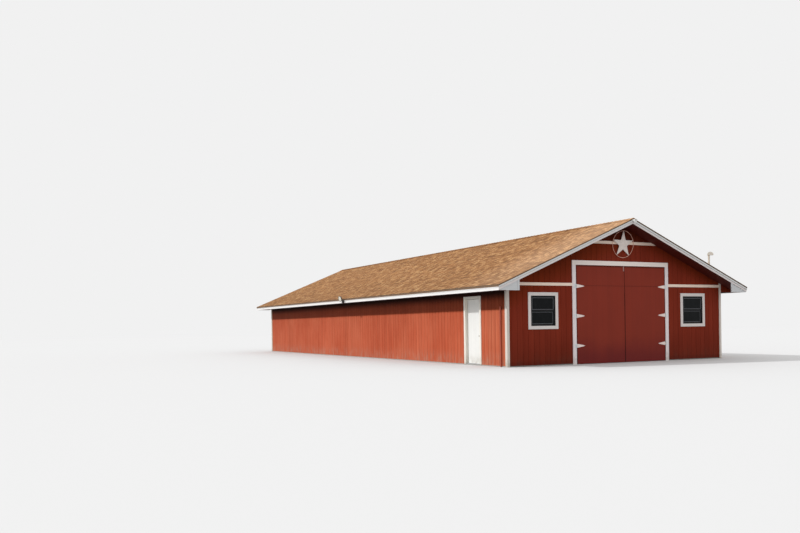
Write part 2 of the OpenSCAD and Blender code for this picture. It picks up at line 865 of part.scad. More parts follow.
// A flood lamp on the left fascia: a box on the boards, an arm and a round head whose lens looks out
// and a little down
module eave_lamp() {
    box_w = 100;
    box_d = 50;
    box_drop = 25;
    strip_top = at(rake_top_0, fascia_x + strip_t);
    box_top = strip_top - 40;
    head_r = 110;
    lens_r = 97;
    lens_place = [-158, 0, box_top + 55];
    color(dark) translate([-fascia_x - strip_t, front_y + lamp_y, 0]) {
        block([-box_d, -box_w / 2, fascia_z - box_drop], [0, box_w / 2, box_top]);
        block([-1, -box_w / 2, fascia_z + 5], [strip_t, box_w / 2, strip_top - strip_h - 3]);
        translate(lens_place) rotate([0, 75, 9]) difference() {
            rotate_extrude() polygon([[0, 0], [head_r, 0], [head_r, 18], [84, 56], [40, 66], [0, 66]]);
            translate([0, 0, -1]) cylinder(r = lens_r, h = 6);
        }
        bar([-box_d / 2, 0, box_top - 12], lens_place + [56, 9, 14], 13);
    }
}

// A small flood lamp on the strips of the rake boards at the front peak
module peak_lamp() {
    plate_r = 44;
    plate_t = 14;
    plate_z = rake_top_0 - (plate_r + 3) / pitch_cos;
    color(white) translate([0, rake_y, plate_z]) rotate([90, 0, 0]) {
        cylinder(r = plate_r, h = plate_t);
        translate([0, 0, plate_t - 1]) cylinder(r = 17, h = 30);
        translate([0, 0, plate_t + 24]) rotate([20, 0, 0]) rotate_extrude()
            polygon([[0, -12], [26, -12], [34, 0], [40, 22], [60, 62], [60, 70], [54, 70], [44, 52],
                [0, 46]]);
    }
}

// A conduit on two clips beside the front corner of the left wall
module wall_conduit() {
    color(red) translate([-half_w - conduit_r - 12, front_y + conduit_y, 0]) {
        cylinder(r = conduit_r, h = conduit_h);
        for (z = [0.2, 0.8])
            block([0, -conduit_r - 12, z * conduit_h], [conduit_r + 12, conduit_r + 12, z * conduit_h + 30]);
    }
}

floor_slab();
front_wall_left();
front_wall_right();
front_gable();
left_wall_front();
left_wall_header();
left_wall_back();
right_wall();
back_wall();
eave_box_ends();
corner_boards();
door_casing_left();
door_casing_right();
door_casing_head();
door_stops();
band_boards();
barn_star();
roof_left();
roof_right();
ridge_cap();
fascias();
rake_boards();
eave_soffits();
rake_soffits();
eave_returns();
rafters();
ridge_beam();
collar_ties();
window_casings();
window_frames();
window_glass();
walk_door_jambs();
walk_door_head();
walk_door_sill();
walk_door();
walk_door_knobs();
left_barn_door();
right_barn_door();
left_door_ironwork();
right_door_ironwork();
hinge_plates();
service_mast();
eave_lamp();
peak_lamp();
wall_conduit();
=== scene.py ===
"""A timber barn with grooved red siding, white trim and a shingled roof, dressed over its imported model.

Lengths are in metres in the model's own frame: X runs across the front, Y from the front to the back
and Z up, with the origin on the ground under the middle. The front looks towards -Y.
"""

import logging
import math
from dataclasses import dataclass, field
from enum import Enum
from typing import Any, Mapping, Sequence

import bmesh
import bpy
from mathutils import Matrix, Vector


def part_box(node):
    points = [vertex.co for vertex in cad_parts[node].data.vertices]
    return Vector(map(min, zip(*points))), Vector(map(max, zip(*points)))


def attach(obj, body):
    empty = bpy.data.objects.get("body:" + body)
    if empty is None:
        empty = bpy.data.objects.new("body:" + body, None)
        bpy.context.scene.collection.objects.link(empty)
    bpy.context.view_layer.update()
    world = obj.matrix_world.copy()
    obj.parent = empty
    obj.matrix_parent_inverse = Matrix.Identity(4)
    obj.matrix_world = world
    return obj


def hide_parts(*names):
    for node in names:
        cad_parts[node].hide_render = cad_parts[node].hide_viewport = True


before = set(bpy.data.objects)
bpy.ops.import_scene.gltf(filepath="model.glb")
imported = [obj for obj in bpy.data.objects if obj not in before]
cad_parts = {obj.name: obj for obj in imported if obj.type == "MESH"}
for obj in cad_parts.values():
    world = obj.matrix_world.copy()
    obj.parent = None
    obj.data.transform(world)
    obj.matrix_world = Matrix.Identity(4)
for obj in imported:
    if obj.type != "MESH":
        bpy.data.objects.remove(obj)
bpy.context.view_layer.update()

log = logging.getLogger("barn")

ROOF_ANGLE = math.radians(22.6)
ROOF_SLOPE = math.tan(ROOF_ANGLE)
GROOVE_PITCH = 0.203
SHEET_WIDTH = 6 * GROOVE_PITCH
SHEET_HEIGHT = 2.44
# How far from a face's plane one paint gives way to another.
FACE_BLEND = 0.002
# A shingle's thickness at its upper end, as a share of that at its lower edge.
THIN_END = 0.2
# The attribute that carries a shingle's own tone to its material.
TONE = "tone"
# The way each side lies from the barn's middle.
SIDES = {"left": -1.0, "right": 1.0}

Span = tuple[float, float]
Triple = tuple[float, float, float]
Rect = tuple[float, float, float, float]


class Axis(Enum):
    """A direction of the model's frame."""

    ACROSS = 0
    ALONG = 1
    UP = 2


class Body(Enum):
    """The bodies that carry the pieces made here."""

    BUILDING = "building"
    LEFT_DOOR = "left_door"
    RIGHT_DOOR = "right_door"


class Signal:
    """A node's output that takes part in arithmetic; every operator adds one Math node."""

    def __init__(self, graph: "NodeGraph", socket: bpy.types.NodeSocket) -> None:
        """Wrap one output of a node."""
        self.graph = graph
        self.socket = socket

    def sibling(self, key: str) -> "Signal":
        """Return another output of the same node."""
        return Signal(self.graph, self.graph.find(self.socket.node.outputs, key))

    def math(self, operation: str, *terms: "Signal | float") -> "Signal":
        """Return the result of a Math node on some numbers."""
        return self.graph.node("ShaderNodeMath", {"operation": operation}, list(terms))

    def __add__(self, other: "Signal | float") -> "Signal":
        """Add a number."""
        return self.math("ADD", self, other)

    def __radd__(self, other: float) -> "Signal":
        """Add to a number."""
        return self.math("ADD", other, self)

    def __sub__(self, other: "Signal | float") -> "Signal":
        """Take a number away."""
        return self.math("SUBTRACT", self, other)

    def __rsub__(self, other: float) -> "Signal":
        """Take this from a number."""
        return self.math("SUBTRACT", other, self)

    def __mul__(self, other: "Signal | float") -> "Signal":
        """Multiply by a number."""
        return self.math("MULTIPLY", self, other)

    def __rmul__(self, other: float) -> "Signal":
        """Multiply a number."""
        return self.math("MULTIPLY", other, self)

    def __truediv__(self, other: "Signal | float") -> "Signal":
        """Divide by a number."""
        return self.math("DIVIDE", self, other)

    def __rtruediv__(self, other: float) -> "Signal":
        """Divide a number by this."""
        return self.math("DIVIDE", other, self)

    def size(self) -> "Signal":
        """Return the number without its sign."""
        return self.math("ABSOLUTE", self)

    def whole(self) -> "Signal":
        """Return the whole number below."""
        return self.math("FLOOR", self)

    def rest(self) -> "Signal":
        """Return what is left above the whole number below."""
        return self.math("FRACT", self)

    def rise(self, low: float, high: float) -> "Signal":
        """Return a smooth step from 0 at one value up to 1 at another."""
        edges = {"Value": self, "From Min": low, "From Max": high}
        return self.graph.node("ShaderNodeMapRange", {"interpolation_type": "SMOOTHSTEP"}, edges)

    def fall(self, low: float, high: float) -> "Signal":
        """Return a smooth step from 1 at one value down to 0 at another."""
        return 1.0 - self.rise(low, high)

    def near(self, middle: float, reach: float, core: float = 0.4) -> "Signal":
        """Return 1 round a value, out to the core's share of the reach, and 0 beyond the reach."""
        return (self - middle).size().fall(reach * core, reach)

    def capped(self) -> "Signal":
        """Return the number, or 1 where it is larger."""
        return self.math("MINIMUM", self, 1.0)


class NodeGraph:
    """A node tree that is filled through one method, whatever the kind of node."""

    def __init__(self, tree: bpy.types.NodeTree) -> None:
        """Wrap a node tree."""
        self.tree = tree

    @staticmethod
    def find(sockets: Any, key: "str | int") -> bpy.types.NodeSocket:
        """Return a socket by its number, its identifier or its name.

        Args:
            sockets: The inputs or outputs of a node.
            key: Number, identifier or name of the socket.

        Returns:
            The socket.
        """
        if isinstance(key, int):
            return sockets[key]
        for socket in sockets:
            if socket.identifier == key:
                return socket
        return sockets[key]

    def node(
        self,
        kind: str,
        settings: Mapping[str, Any] | None = None,
        inputs: "Mapping[str, Any] | Sequence[Any] | None" = None,
        output: "str | int" = 0,
    ) -> Signal:
        """Add a node: its settings first, then the values or links of its sockets.

        Args:
            kind: Blender's name for the type of node.
            settings: Properties of the node; "stops" holds the places and colours of a ramp.
            inputs: A value or a Signal for each socket, by key or in order.
            output: The output to return.

        Returns:
            The chosen output of the new node.
        """
        made = self.tree.nodes.new(kind)
        for name, value in (settings or {}).items():
            if name == "stops":
                self.set_stops(made.color_ramp, value)
            else:
                setattr(made, name, value)
        given = inputs or {}
        pairs = given.items() if isinstance(given, Mapping) else enumerate(given)
        for key, value in pairs:
            self.feed(self.find(made.inputs, key), value)
        return Signal(self, self.find(made.outputs, output))

    def feed(self, socket: bpy.types.NodeSocket, value: Any) -> None:
        """Link an input to a signal, or set its value.

        Args:
            socket: The input.
            value: A Signal, or a number, vector, colour or name.
        """
        if isinstance(value, Signal):
            self.tree.links.new(value.socket, socket)
        elif socket.type == "RGBA":
            socket.default_value = (*value, 1.0)
        else:
            socket.default_value = value

    @staticmethod
    def set_stops(ramp: bpy.types.ColorRamp, stops: Sequence[tuple[float, Triple]]) -> None:
        """Set the stops of a colour ramp.

        Args:
            ramp: The ramp, with its two first stops.
            stops: Place and colour of each stop, in rising order.
        """
        while len(ramp.elements) < len(stops):
            ramp.elements.new(1.0)
        for element, (place, colour) in zip(ramp.elements, stops):
            element.position = place
            element.color = (*colour, 1.0)

    def point(self, x: "Signal | float", y: "Signal | float", z: "Signal | float") -> Signal:
        """Return a vector made of three numbers."""
        return self.node("ShaderNodeCombineXYZ", inputs=[x, y, z])

    def parts(self, vector: Signal) -> tuple[Signal, Signal, Signal]:
        """Return the three numbers of a vector."""
        x = self.node("ShaderNodeSeparateXYZ", inputs=[vector])
        return x, x.sibling("Y"), x.sibling("Z")


class Paint(NodeGraph):
    """The shader tree of one material, with the patterns that the barn's finishes share.

    Where a finish adds patterns up, the number beside a pattern is its share.
    """

    line_core: float = 0.6
    line_edge: float = 1.5

    def __init__(self, material: bpy.types.Material) -> None:
        """Take over the tree of a new material.

        Args:
            material: The material.
        """
        super().__init__(material.node_tree)
        self.shader = material.node_tree.nodes["Principled BSDF"]
        self.place = self.node("ShaderNodeTexCoord", output="Object")
        self.axes = self.parts(self.place)

    def noise(self, scales: Triple, detail: float) -> Signal:
        """Return cloudy noise over the piece.

        Args:
            scales: Cells per metre along X, Y and Z.
            detail: Number of finer layers.

        Returns:
            A number round 0.5.
        """
        stretched = self.node("ShaderNodeVectorMath", {"operation": "MULTIPLY"}, [self.place, scales])
        inputs = {"Vector": stretched, "Scale": 1.0, "Detail": detail, "Roughness": 0.55}
        return self.node("ShaderNodeTexNoise", inputs=inputs)

    def even_noise(self, scale: float, detail: float = 3.0) -> Signal:
        """Return noise of one scale in every direction."""
        return self.noise((scale, scale, scale), detail)

    def grain(self, direction: Axis, slow: float, fast: float, detail: float = 3.0) -> Signal:
        """Return noise drawn out along one direction.

        Args:
            direction: The way the streaks run.
            slow: Cells per metre along the streaks.
            fast: Cells per metre across them.
            detail: Number of finer layers.

        Returns:
            A number round 0.5.
        """
        scales = [fast, fast, fast]
        scales[direction.value] = slow
        return self.noise(tuple(scales), detail)

    def streaks(self, direction: Axis, long: Span, fine: Span) -> tuple[Signal, Signal]:
        """Return long soft streaks and fine sharp ones, each by its cells per metre along and across."""
        return self.grain(direction, *long, detail=4.0), self.grain(direction, *fine, detail=2.0)

    def lottery(self, number: Signal, seed: float = 0.0) -> Signal:
        """Return a random number from 0 to 1 that stays the same for each whole number."""
        return self.node("ShaderNodeTexWhiteNoise", {"noise_dimensions": "1D"}, {"W": number + seed})

    def near_line(self, run: Signal, pitch: float, half_width: float) -> Signal:
        """Return 1 on lines that repeat at a pitch along a direction, fading to 0 beside them."""
        from_line = ((run / pitch + 0.5).rest() - 0.5).size() * pitch
        return from_line.fall(half_width * self.line_core, half_width * self.line_edge)

    def mix(self, factor: "Signal | float", under: Any, over: Any) -> Signal:
        """Lay one colour over another; the factor is its cover, from 0 to 1."""
        inputs = {"Factor_Float": factor, "A_Color": under, "B_Color": over}
        return self.node("ShaderNodeMix", {"data_type": "RGBA"}, inputs, "Result_Color")

    def shaded(self, colour: Any, amount: Signal) -> Signal:
        """Return a colour made darker or lighter by a number."""
        inputs = {"Vector": colour, "Scale": amount}
        return self.node("ShaderNodeVectorMath", {"operation": "SCALE"}, inputs)

    def surface(
        self,
        colour: "Signal | Triple",
        roughness: "Signal | float",
        relief: Signal | None = None,
        depth: float = 0.001,
        specular: float = 0.5,
        metallic: float = 0.0,
    ) -> None:
        """Connect the patterns to the material's shader.

        Args:
            colour: Base colour.
            roughness: Roughness.
            relief: Height pattern from 0 to 1.
            depth: What a full step of the relief stands for, in metres.
            specular: Strength of the mirrored light.
            metallic: 1 for bare metal, less under a film.
        """
        wanted = {"Base Color": colour, "Roughness": roughness, "Specular IOR Level": specular}
        if metallic:
            wanted["Metallic"] = metallic
        if relief is not None:
            bump = {"Strength": 1.0, "Distance": depth, "Height": relief}
            wanted["Normal"] = self.node("ShaderNodeBump", inputs=bump)
        for name, value in wanted.items():
            self.feed(self.shader.inputs[name], value)


@dataclass(frozen=True)
class Finish:
    """How one kind of surface looks; each subclass lays its own nodes."""

    name: str

    def lay(self, paint: Paint) -> None:
        """Fill the tree of the new material."""
        raise NotImplementedError

    def material(self) -> bpy.types.Material:
        """Make the material the first time that it is asked for.

        Returns:
            The material.
        """
        made = bpy.data.materials.get(self.name)
        if made is None:
            made = bpy.data.materials.new(self.name)
            made.use_nodes = True
            self.lay(Paint(made))
        return made


@dataclass(frozen=True)
class GroovedSiding(Finish):
    """Grooved plywood siding under old red paint, with bare plywood on the wall's inner face.

    A span says where an effect fades in or out.
    """

    across: Axis = Axis.ACROSS
    outside: float = 11.1
    # The front wall's red, darker than the side walls': painted shade, as the front stands in shade.
    colour: Triple = (0.212, 0.0240, 0.0095)
    faded: Triple = (0.245, 0.036, 0.017)
    fading: float = 0.35
    bleached: Span = (-10.9, -9.4)
    bleaching: float = 0.0
    dust: Triple = (0.10, 0.035, 0.022)
    dust_heights: Span = (0.02, 0.55)
    dusting: float = 0.4
    # Painted shade, darker towards the foot, where the shadowed ground throws back less light.
    foot_shade_heights: Span = (0.20, 1.35)
    foot_shade: float = 0.24
    groove: float = 0.006
    groove_tone: float = 0.07
    roof_slope: float = ROOF_SLOPE
    # Painted shade under the roof's overhang; the deeper red mixed in there is partly paint less faded by
    # the sun.
    overhang_shade: Span = (3.55, 4.40)
    overhang_shade_tone: float = 0.25
    overhang_shade_colour: Triple = (0.225, 0.0255, 0.0002)
    overhang_shade_centre: float = 0.65
    # Painted shade right under the soffits, and above the gable band.
    shade_near_roof: Span = (4.35, 4.75)
    shade_near_roof_tone: float = 0.12
    peak: Span = (3.80, 3.90)
    peak_shade_tone: float = 0.0
    ragged: float = 0.16
    lining: Triple = (0.52, 0.37, 0.22)
    lining_foot: float = 0.03
    lining_joint: float = 0.0025

    def lay(self, paint: Paint) -> None:
        """Lay boards, grooves, streaks, fading and dirt outside, painted shade under the roof and at the
        foot, and plywood sheets inside.

        Args:
            paint: The material's tree.
        """
        run = paint.axes[self.across.value]
        through = paint.axes[1 - self.across.value]
        up = paint.axes[Axis.UP.value]
        # Painted shade under the overhang, with a ragged edge; on the side walls it ends at the eave's cast
        # shadow.
        ragged = (paint.grain(Axis.UP, 1.5, 6.0) - 0.5) * self.ragged
        under_roof = up + (run - self.overhang_shade_centre).size() * self.roof_slope
        overhang_shade_mask = (under_roof + ragged).rise(*self.overhang_shade)
        # Painted shade right under the soffits and above the gable band.
        shade_near_roof = under_roof.rise(*self.shade_near_roof) * self.shade_near_roof_tone + up.rise(*self.peak) * self.peak_shade_tone
        groove = paint.near_line(run, GROOVE_PITCH, self.groove)
        board = paint.lottery((run / GROOVE_PITCH).whole())
        sheet = paint.lottery((run / SHEET_WIDTH).whole(), seed=91.0)
        streaks, grain = paint.streaks(Axis.UP, (0.7, 21.0), (5.0, 170.0))
        blotches = paint.even_noise(0.6)
        tone = 0.60 + board * 0.09 + sheet * 0.08 + streaks * 0.26 + blotches * 0.22 + grain * 0.14
        bleach = run.fall(*self.bleached) * self.bleaching
        weather = (streaks * 0.6 + blotches * 0.4).rise(0.36, 0.68) * self.fading + bleach
        red = paint.mix(weather, self.colour, self.faded)
        red = paint.mix(overhang_shade_mask * 0.7, red, self.overhang_shade_colour)
        # Painted shade towards the foot, where the shadowed ground throws back less light.
        foot_shade_near, foot_shade_broad = (up.fall(0.0, height) * self.foot_shade for height in self.foot_shade_heights)
        tone = tone * (1.0 - overhang_shade_mask * self.overhang_shade_tone) * (1.0 - shade_near_roof) * (1.0 - (foot_shade_near + foot_shade_broad))
        dusty = up.fall(*self.dust_heights) * paint.grain(Axis.UP, 3.0, 9.0).rise(0.34, 0.74)
        red = paint.mix(dusty * self.dusting, paint.shaded(red, tone), self.dust)
        red = paint.shaded(red, 1.0 - groove * self.groove_tone)
        inner = through.size().fall(self.outside - FACE_BLEND, self.outside + FACE_BLEND)
        colour = paint.mix(inner, red, self.plywood(paint, run, up))
        relief = grain * 0.6 + streaks * 0.4
        paint.surface(colour, 0.68 + grain * 0.2, relief, depth=0.0014, specular=0.10)

    def plywood(self, paint: Paint, run: Signal, up: Signal) -> Signal:
        """Return the colour of the bare sheets inside the wall.

        Args:
            paint: The material's tree.
            run: The coordinate along the wall.
            up: The height.

        Returns:
            The colour.
        """
        figure, fine = paint.streaks(Axis.UP, (1.3, 11.0), (9.0, 120.0))
        sheet = paint.lottery((run / SHEET_WIDTH + 0.5).whole(), seed=13.0)
        joints = paint.near_line(run + SHEET_WIDTH / 2, SHEET_WIDTH, self.lining_joint)
        joints = joints + paint.near_line(up - self.lining_foot, SHEET_HEIGHT, self.lining_joint)
        return paint.shaded(self.lining, 0.62 + figure * 0.4 + fine * 0.18 + sheet * 0.16 - joints * 0.35)


@dataclass(frozen=True)
class PaintedBoard(Finish):
    """A sawn board under paint, dirty near the ground and worn through in thin streaks."""

    grain: Axis = Axis.UP
    colour: Triple = (0.84, 0.83, 0.835)
    worn: Triple = (0.50, 0.46, 0.41)
    wear: float = 0.35
    dirt: Triple = (0.36, 0.31, 0.24)
    dirt_height: float = 0.42
    sheen: float = 0.5

    def coat(self, paint: Paint) -> "Signal | Triple":
        """Return the colour of the paint where it is sound."""
        return self.colour

    def lay(self, paint: Paint) -> None:
        """Lay the grain, the thin places and the dirt at the foot.

        Args:
            paint: The material's tree.
        """
        long, fine = paint.streaks(self.grain, (0.7, 16.0), (5.0, 150.0))
        spots = paint.even_noise(5.0)
        thin = (fine * 0.45 + long * 0.3 + spots * 0.25).rise(0.56, 0.72) * self.wear
        foot = paint.axes[Axis.UP.value].fall(0.0, self.dirt_height) * spots.rise(0.3, 0.7)
        base = paint.shaded(self.coat(paint), 0.87 + long * 0.16 + fine * 0.08)
        base = paint.mix(thin, base, self.worn)
        base = paint.mix(foot * 0.6, base, self.dirt)
        relief = fine * 0.6 + long * 0.4
        paint.surface(base, self.sheen + long * 0.25, relief, depth=0.0012, specular=0.25)


@dataclass(frozen=True)
class RakePaint(PaintedBoard):
    """Greyer paint on the rakes: a cool strip on top, a warmer board below, and painted shade at the joint
    between.
    """

    board: Triple = (0.76, 0.705, 0.695)
    strip_face: float = 11.742
    joint: float = 4.4415
    joint_width: float = 0.007
    # Painted shade in the joint under the strip.
    joint_shade: Triple = (0.20, 0.19, 0.19)

    def coat(self, paint: Paint) -> Signal:
        """Return the strip's colour or the board's, with painted shade at the joint between them.

        Args:
            paint: The material's tree.

        Returns:
            The colour.
        """
        across, along, up = paint.axes
        strip = along.size().rise(self.strip_face - FACE_BLEND, self.strip_face + FACE_BLEND)
        paler = paint.mix(strip, self.board, self.colour)
        # Painted shade at the joint under the strip.
        joint = (up + across.size() * ROOF_SLOPE).near(self.joint, self.joint_width) * (1.0 - strip)
        return paint.mix(joint * 0.8, paler, self.joint_shade)


@dataclass(frozen=True)
class DoorPaint(Finish):
    """Plywood door sheets under thick red paint, darker where rain splashes the foot."""

    colour: Triple = (0.248, 0.0320, 0.0170)
    low_colour: Triple = (0.172, 0.0195, 0.0165)
    splash: Span = (0.35, 1.20)
    groove: float = 0.005
    sheet_joint: float = SHEET_HEIGHT
    joint_width: float = 0.012
    top: float = 3.06
    # Painted shade along the top and the sides, under the casing.
    top_shade: Span = (0.060, 0.025)
    side: float = 1.83
    side_shade: Span = (0.050, 0.015)
    edge_shade: float = 0.5
    seam: float = 0.1
    seam_width: float = 0.018
    # Painted shade along the seam between the leaves, stronger towards the foot.
    seam_shade: Span = (0.72, 0.38)
    seam_heights: Span = (1.9, 2.6)

    def lay(self, paint: Paint) -> None:
        """Lay filled grooves, brush streaks, blotches, the darker foot, and painted shade along the top, the
        sides and the seam.

        Args:
            paint: The material's tree.
        """
        run, _, up = paint.axes
        groove = paint.near_line(run, GROOVE_PITCH, self.groove)
        joint = up.near(self.sheet_joint, self.joint_width)
        board = paint.lottery((run / GROOVE_PITCH).whole(), seed=7.0)
        streaks, fine = paint.streaks(Axis.UP, (0.8, 17.0), (6.0, 140.0))
        blotches = paint.even_noise(1.3)
        foot = (up + blotches * 0.5).fall(*self.splash)
        red = paint.mix(foot, self.colour, self.low_colour)
        tone = 0.79 + board * 0.05 + streaks * 0.18 + blotches * 0.14 + fine * 0.07 - groove * 0.08
        # Painted shade along the top and the sides, under the casing.
        edge = up.rise(*(self.top - inset for inset in self.top_shade))
        edge = edge + run.size().rise(*(self.side - inset for inset in self.side_shade))
        tone = tone * (1.0 - joint * 0.35) * (1.0 - edge.capped() * self.edge_shade)
        # Painted shade along the seam between the leaves, stronger towards the foot.
        low_seam_shade, high_seam_shade = self.seam_shade
        seam_shade_depth = low_seam_shade - up.rise(*self.seam_heights) * (low_seam_shade - high_seam_shade)
        tone = tone * (1.0 - run.near(self.seam, self.seam_width, core=0.7) * seam_shade_depth)
        relief = fine * 0.4 + streaks * 0.3 - groove * 0.5
        paint.surface(paint.shaded(red, tone), 0.6 + streaks * 0.2, relief, depth=0.0014, specular=0.15)


@dataclass(frozen=True)
class MineralShingle(Finish):
    """Laminated shingles: blended brown and tan tabs covered in fine granules."""

    blend: tuple[tuple[float, Triple], ...] = (
        (0.0, (0.150, 0.066, 0.024)),
        (0.28, (0.268, 0.121, 0.043)),
        (0.52, (0.364, 0.173, 0.063)),
        (0.76, (0.452, 0.231, 0.091)),
        (1.0, (0.575, 0.340, 0.152)),
    )
    bleached: Triple = (0.660, 0.420, 0.250)
    bleached_end: Span = (-10.4, -7.6)
    bleaching: float = 0.44
    eave_side: Span = (2.6, 5.2)
    eave_dirt: float = 0.14

    def lay(self, paint: Paint) -> None:
        """Lay the tabs' own tones, soft patches, the bleached front end and the granules.

        Args:
            paint: The material's tree.
        """
        settings = {"attribute_name": TONE, "attribute_type": "GEOMETRY"}
        tab = paint.node("ShaderNodeAttribute", settings, output="Fac")
        patch = paint.even_noise(5.5)
        wide = paint.even_noise(0.35, 2.0)
        granules = paint.even_noise(230.0, 2.0)
        pebbles = paint.even_noise(38.0)
        place = tab * 0.94 + patch * 0.12 + wide * 0.08 + pebbles * 0.24 - 0.18
        colour = paint.node("ShaderNodeValToRGB", {"stops": self.blend}, {"Fac": place})
        across, along, _ = paint.axes
        low = across.size().rise(*self.eave_side)
        front_end = (along + patch * 1.6).fall(*self.bleached_end)
        pale = paint.shaded(self.bleached, 0.62 + tab * 0.5 + pebbles * 0.24)
        colour = paint.mix(front_end * self.bleaching * (1.0 - low * 0.5), colour, pale)
        colour = paint.shaded(colour, (0.72 + granules * 0.56) * (1.0 - low * self.eave_dirt))
        paint.surface(colour, 0.93, granules * 0.5 + pebbles * 0.5, depth=0.0022, specular=0.25)


@dataclass(frozen=True)
class ShingleEdge(Finish):
    """The dark cut edges of old asphalt shingles."""

    colour: Triple = (0.075, 0.050, 0.034)
    layer: float = 0.0045

    def lay(self, paint: Paint) -> None:
        """Lay the layers of the edge and its grit.

        Args:
            paint: The material's tree.
        """
        grit = paint.even_noise(160.0)
        across, _, up = paint.axes
        layer = paint.lottery(((up + across.size() * ROOF_SLOPE) / self.layer).whole())
        paint.surface(paint.shaded(self.colour, 0.6 + grit * 0.5 + layer * 0.4), 0.9, grit, depth=0.001)


@dataclass(frozen=True)
class SawnTimber(Finish):
    """Bare softwood framing that has darkened with age."""

    grain: Axis = Axis.ACROSS
    early: Triple = (0.56, 0.39, 0.22)
    late: Triple = (0.33, 0.20, 0.10)
    knot: Triple = (0.12, 0.06, 0.03)

    def lay(self, paint: Paint) -> None:
        """Lay growth rings, saw marks and knots.

        Args:
            paint: The material's tree.
        """
        rings = paint.grain(self.grain, 0.5, 34.0)
        fine = paint.grain(self.grain, 7.0, 190.0, 2.0)
        dull = paint.even_noise(1.2)
        knots = paint.grain(self.grain, 1.6, 7.0, 1.0).rise(0.72, 0.79)
        wood = paint.mix(rings.rise(0.38, 0.62), self.early, self.late)
        wood = paint.mix(knots * 0.7, wood, self.knot)
        wood = paint.shaded(wood, 0.66 + fine * 0.3 + dull * 0.36)
        paint.surface(wood, 0.78, fine * 0.7 + rings * 0.3, depth=0.0012)


@dataclass(frozen=True)
class RoofSheathing(Finish):
    """Plywood sheets under the shingles, seen between the rafters."""

    colour: Triple = (0.47, 0.33, 0.19)
    joint: float = 0.003
    row_seed: float = 17.0

    def lay(self, paint: Paint) -> None:
        """Lay the sheets, their joints and their figure.

        Args:
            paint: The material's tree.
        """
        across, along, _ = paint.axes
        figure, fine = paint.streaks(Axis.ALONG, (1.2, 12.0), (8.0, 150.0))
        row = (across / SHEET_WIDTH).whole() * self.row_seed
        sheet = paint.lottery((along / SHEET_HEIGHT).whole() + row)
        joints = paint.near_line(along, SHEET_HEIGHT, self.joint)
        joints = joints + paint.near_line(across, SHEET_WIDTH, self.joint)
        tone = 0.6 + figure * 0.42 + fine * 0.2 + sheet * 0.16 - joints * 0.3
        paint.surface(paint.shaded(self.colour, tone), 0.82, fine, depth=0.0008)


@dataclass(frozen=True)
class SlabConcrete(Finish):
    """A trowelled floor slab with stains and saw-cut joints."""

    colour: Triple = (0.36, 0.345, 0.315)
    stain: Triple = (0.17, 0.155, 0.135)
    pitch_along: float = 3.727
    pitch_across: float = 2.95
    joint: float = 0.003

    def lay(self, paint: Paint) -> None:
        """Lay clouds, grit, stains and the joints.

        Args:
            paint: The material's tree.
        """
        across, along, _ = paint.axes
        clouds = paint.even_noise(0.9, 5.0)
        grit = paint.even_noise(160.0, 2.0)
        stains = paint.even_noise(0.45, 4.0).rise(0.56, 0.72)
        joints = paint.near_line(along, self.pitch_along, self.joint)
        joints = joints + paint.near_line(across, self.pitch_across, self.joint)
        colour = paint.mix(stains * 0.45, self.colour, self.stain)
        colour = paint.shaded(colour, 0.66 + clouds * 0.5 + grit * 0.2 - joints * 0.4)
        paint.surface(colour, 0.7 + clouds * 0.2, grit * 0.5 - joints * 0.5, depth=0.0012)


@dataclass(frozen=True)
class CoatedMetal(Finish):
    """Painted iron: a thin glossy coat with rust where it has chipped."""

    colour: Triple = (0.93, 0.79, 0.74)
    rust: Triple = (0.20, 0.075, 0.03)
    chipped: float = 0.5
    roughness: float = 0.38

    def coat(self, paint: Paint) -> "Signal | Triple":
        """Return the colour of the coat where it is sound."""
        return self.colour

    def lay(self, paint: Paint) -> None:
        """Lay the coat, its chips and faint runs.

        Args:
            paint: The material's tree.
        """
        clouds = paint.even_noise(7.0, 4.0)
        chips = paint.even_noise(46.0, 4.0).rise(0.66, 0.71)
        runs = paint.grain(Axis.UP, 4.0, 40.0)
        coat = paint.shaded(self.coat(paint), 0.88 + clouds * 0.14 + runs * 0.08)
        colour = paint.mix(chips * self.chipped, coat, self.rust)
        roughness = self.roughness + chips * 0.4 + clouds * 0.1
        paint.surface(colour, roughness, clouds - chips * 0.6, depth=0.0006)


@dataclass(frozen=True)
class DoorIron(CoatedMetal):
    """White straps, and the bolt above them, whose paint is thin and stained red."""

    bolt_heights: Span = (2.74, 2.76)
    bolt: Triple = (0.47, 0.27, 0.24)

    def coat(self, paint: Paint) -> Signal:
        """Return the straps' colour, or the bolt's above them."""
        above = paint.axes[Axis.UP.value].rise(*self.bolt_heights)
        return paint.mix(above, self.colour, self.bolt)


@dataclass(frozen=True)
class BareMetal(Finish):
    """Zinc-coated or plated metal, with faint crystals and dull patches."""

    colour: Triple = (0.56, 0.57, 0.58)
    dull: Triple = (0.34, 0.335, 0.33)
    crystals: float = 32.0
    roughness: float = 0.36
    metallic: float = 0.85

    def lay(self, paint: Paint) -> None:
        """Lay the crystals and the dull patches.

        Args:
            paint: The material's tree.
        """
        cells = paint.node("ShaderNodeTexVoronoi", inputs={"Vector": paint.place, "Scale": self.crystals})
        tint, _, _ = paint.parts(cells.sibling("Color"))
        dull = paint.even_noise(5.0, 4.0).rise(0.42, 0.7)
        colour = paint.mix(dull * 0.6, self.colour, self.dull)
        colour = paint.shaded(colour, 0.86 + tint * 0.2)
        roughness = self.roughness + dull * 0.25 + tint * 0.08
        paint.surface(colour, roughness, dull, depth=0.0003, metallic=self.metallic)


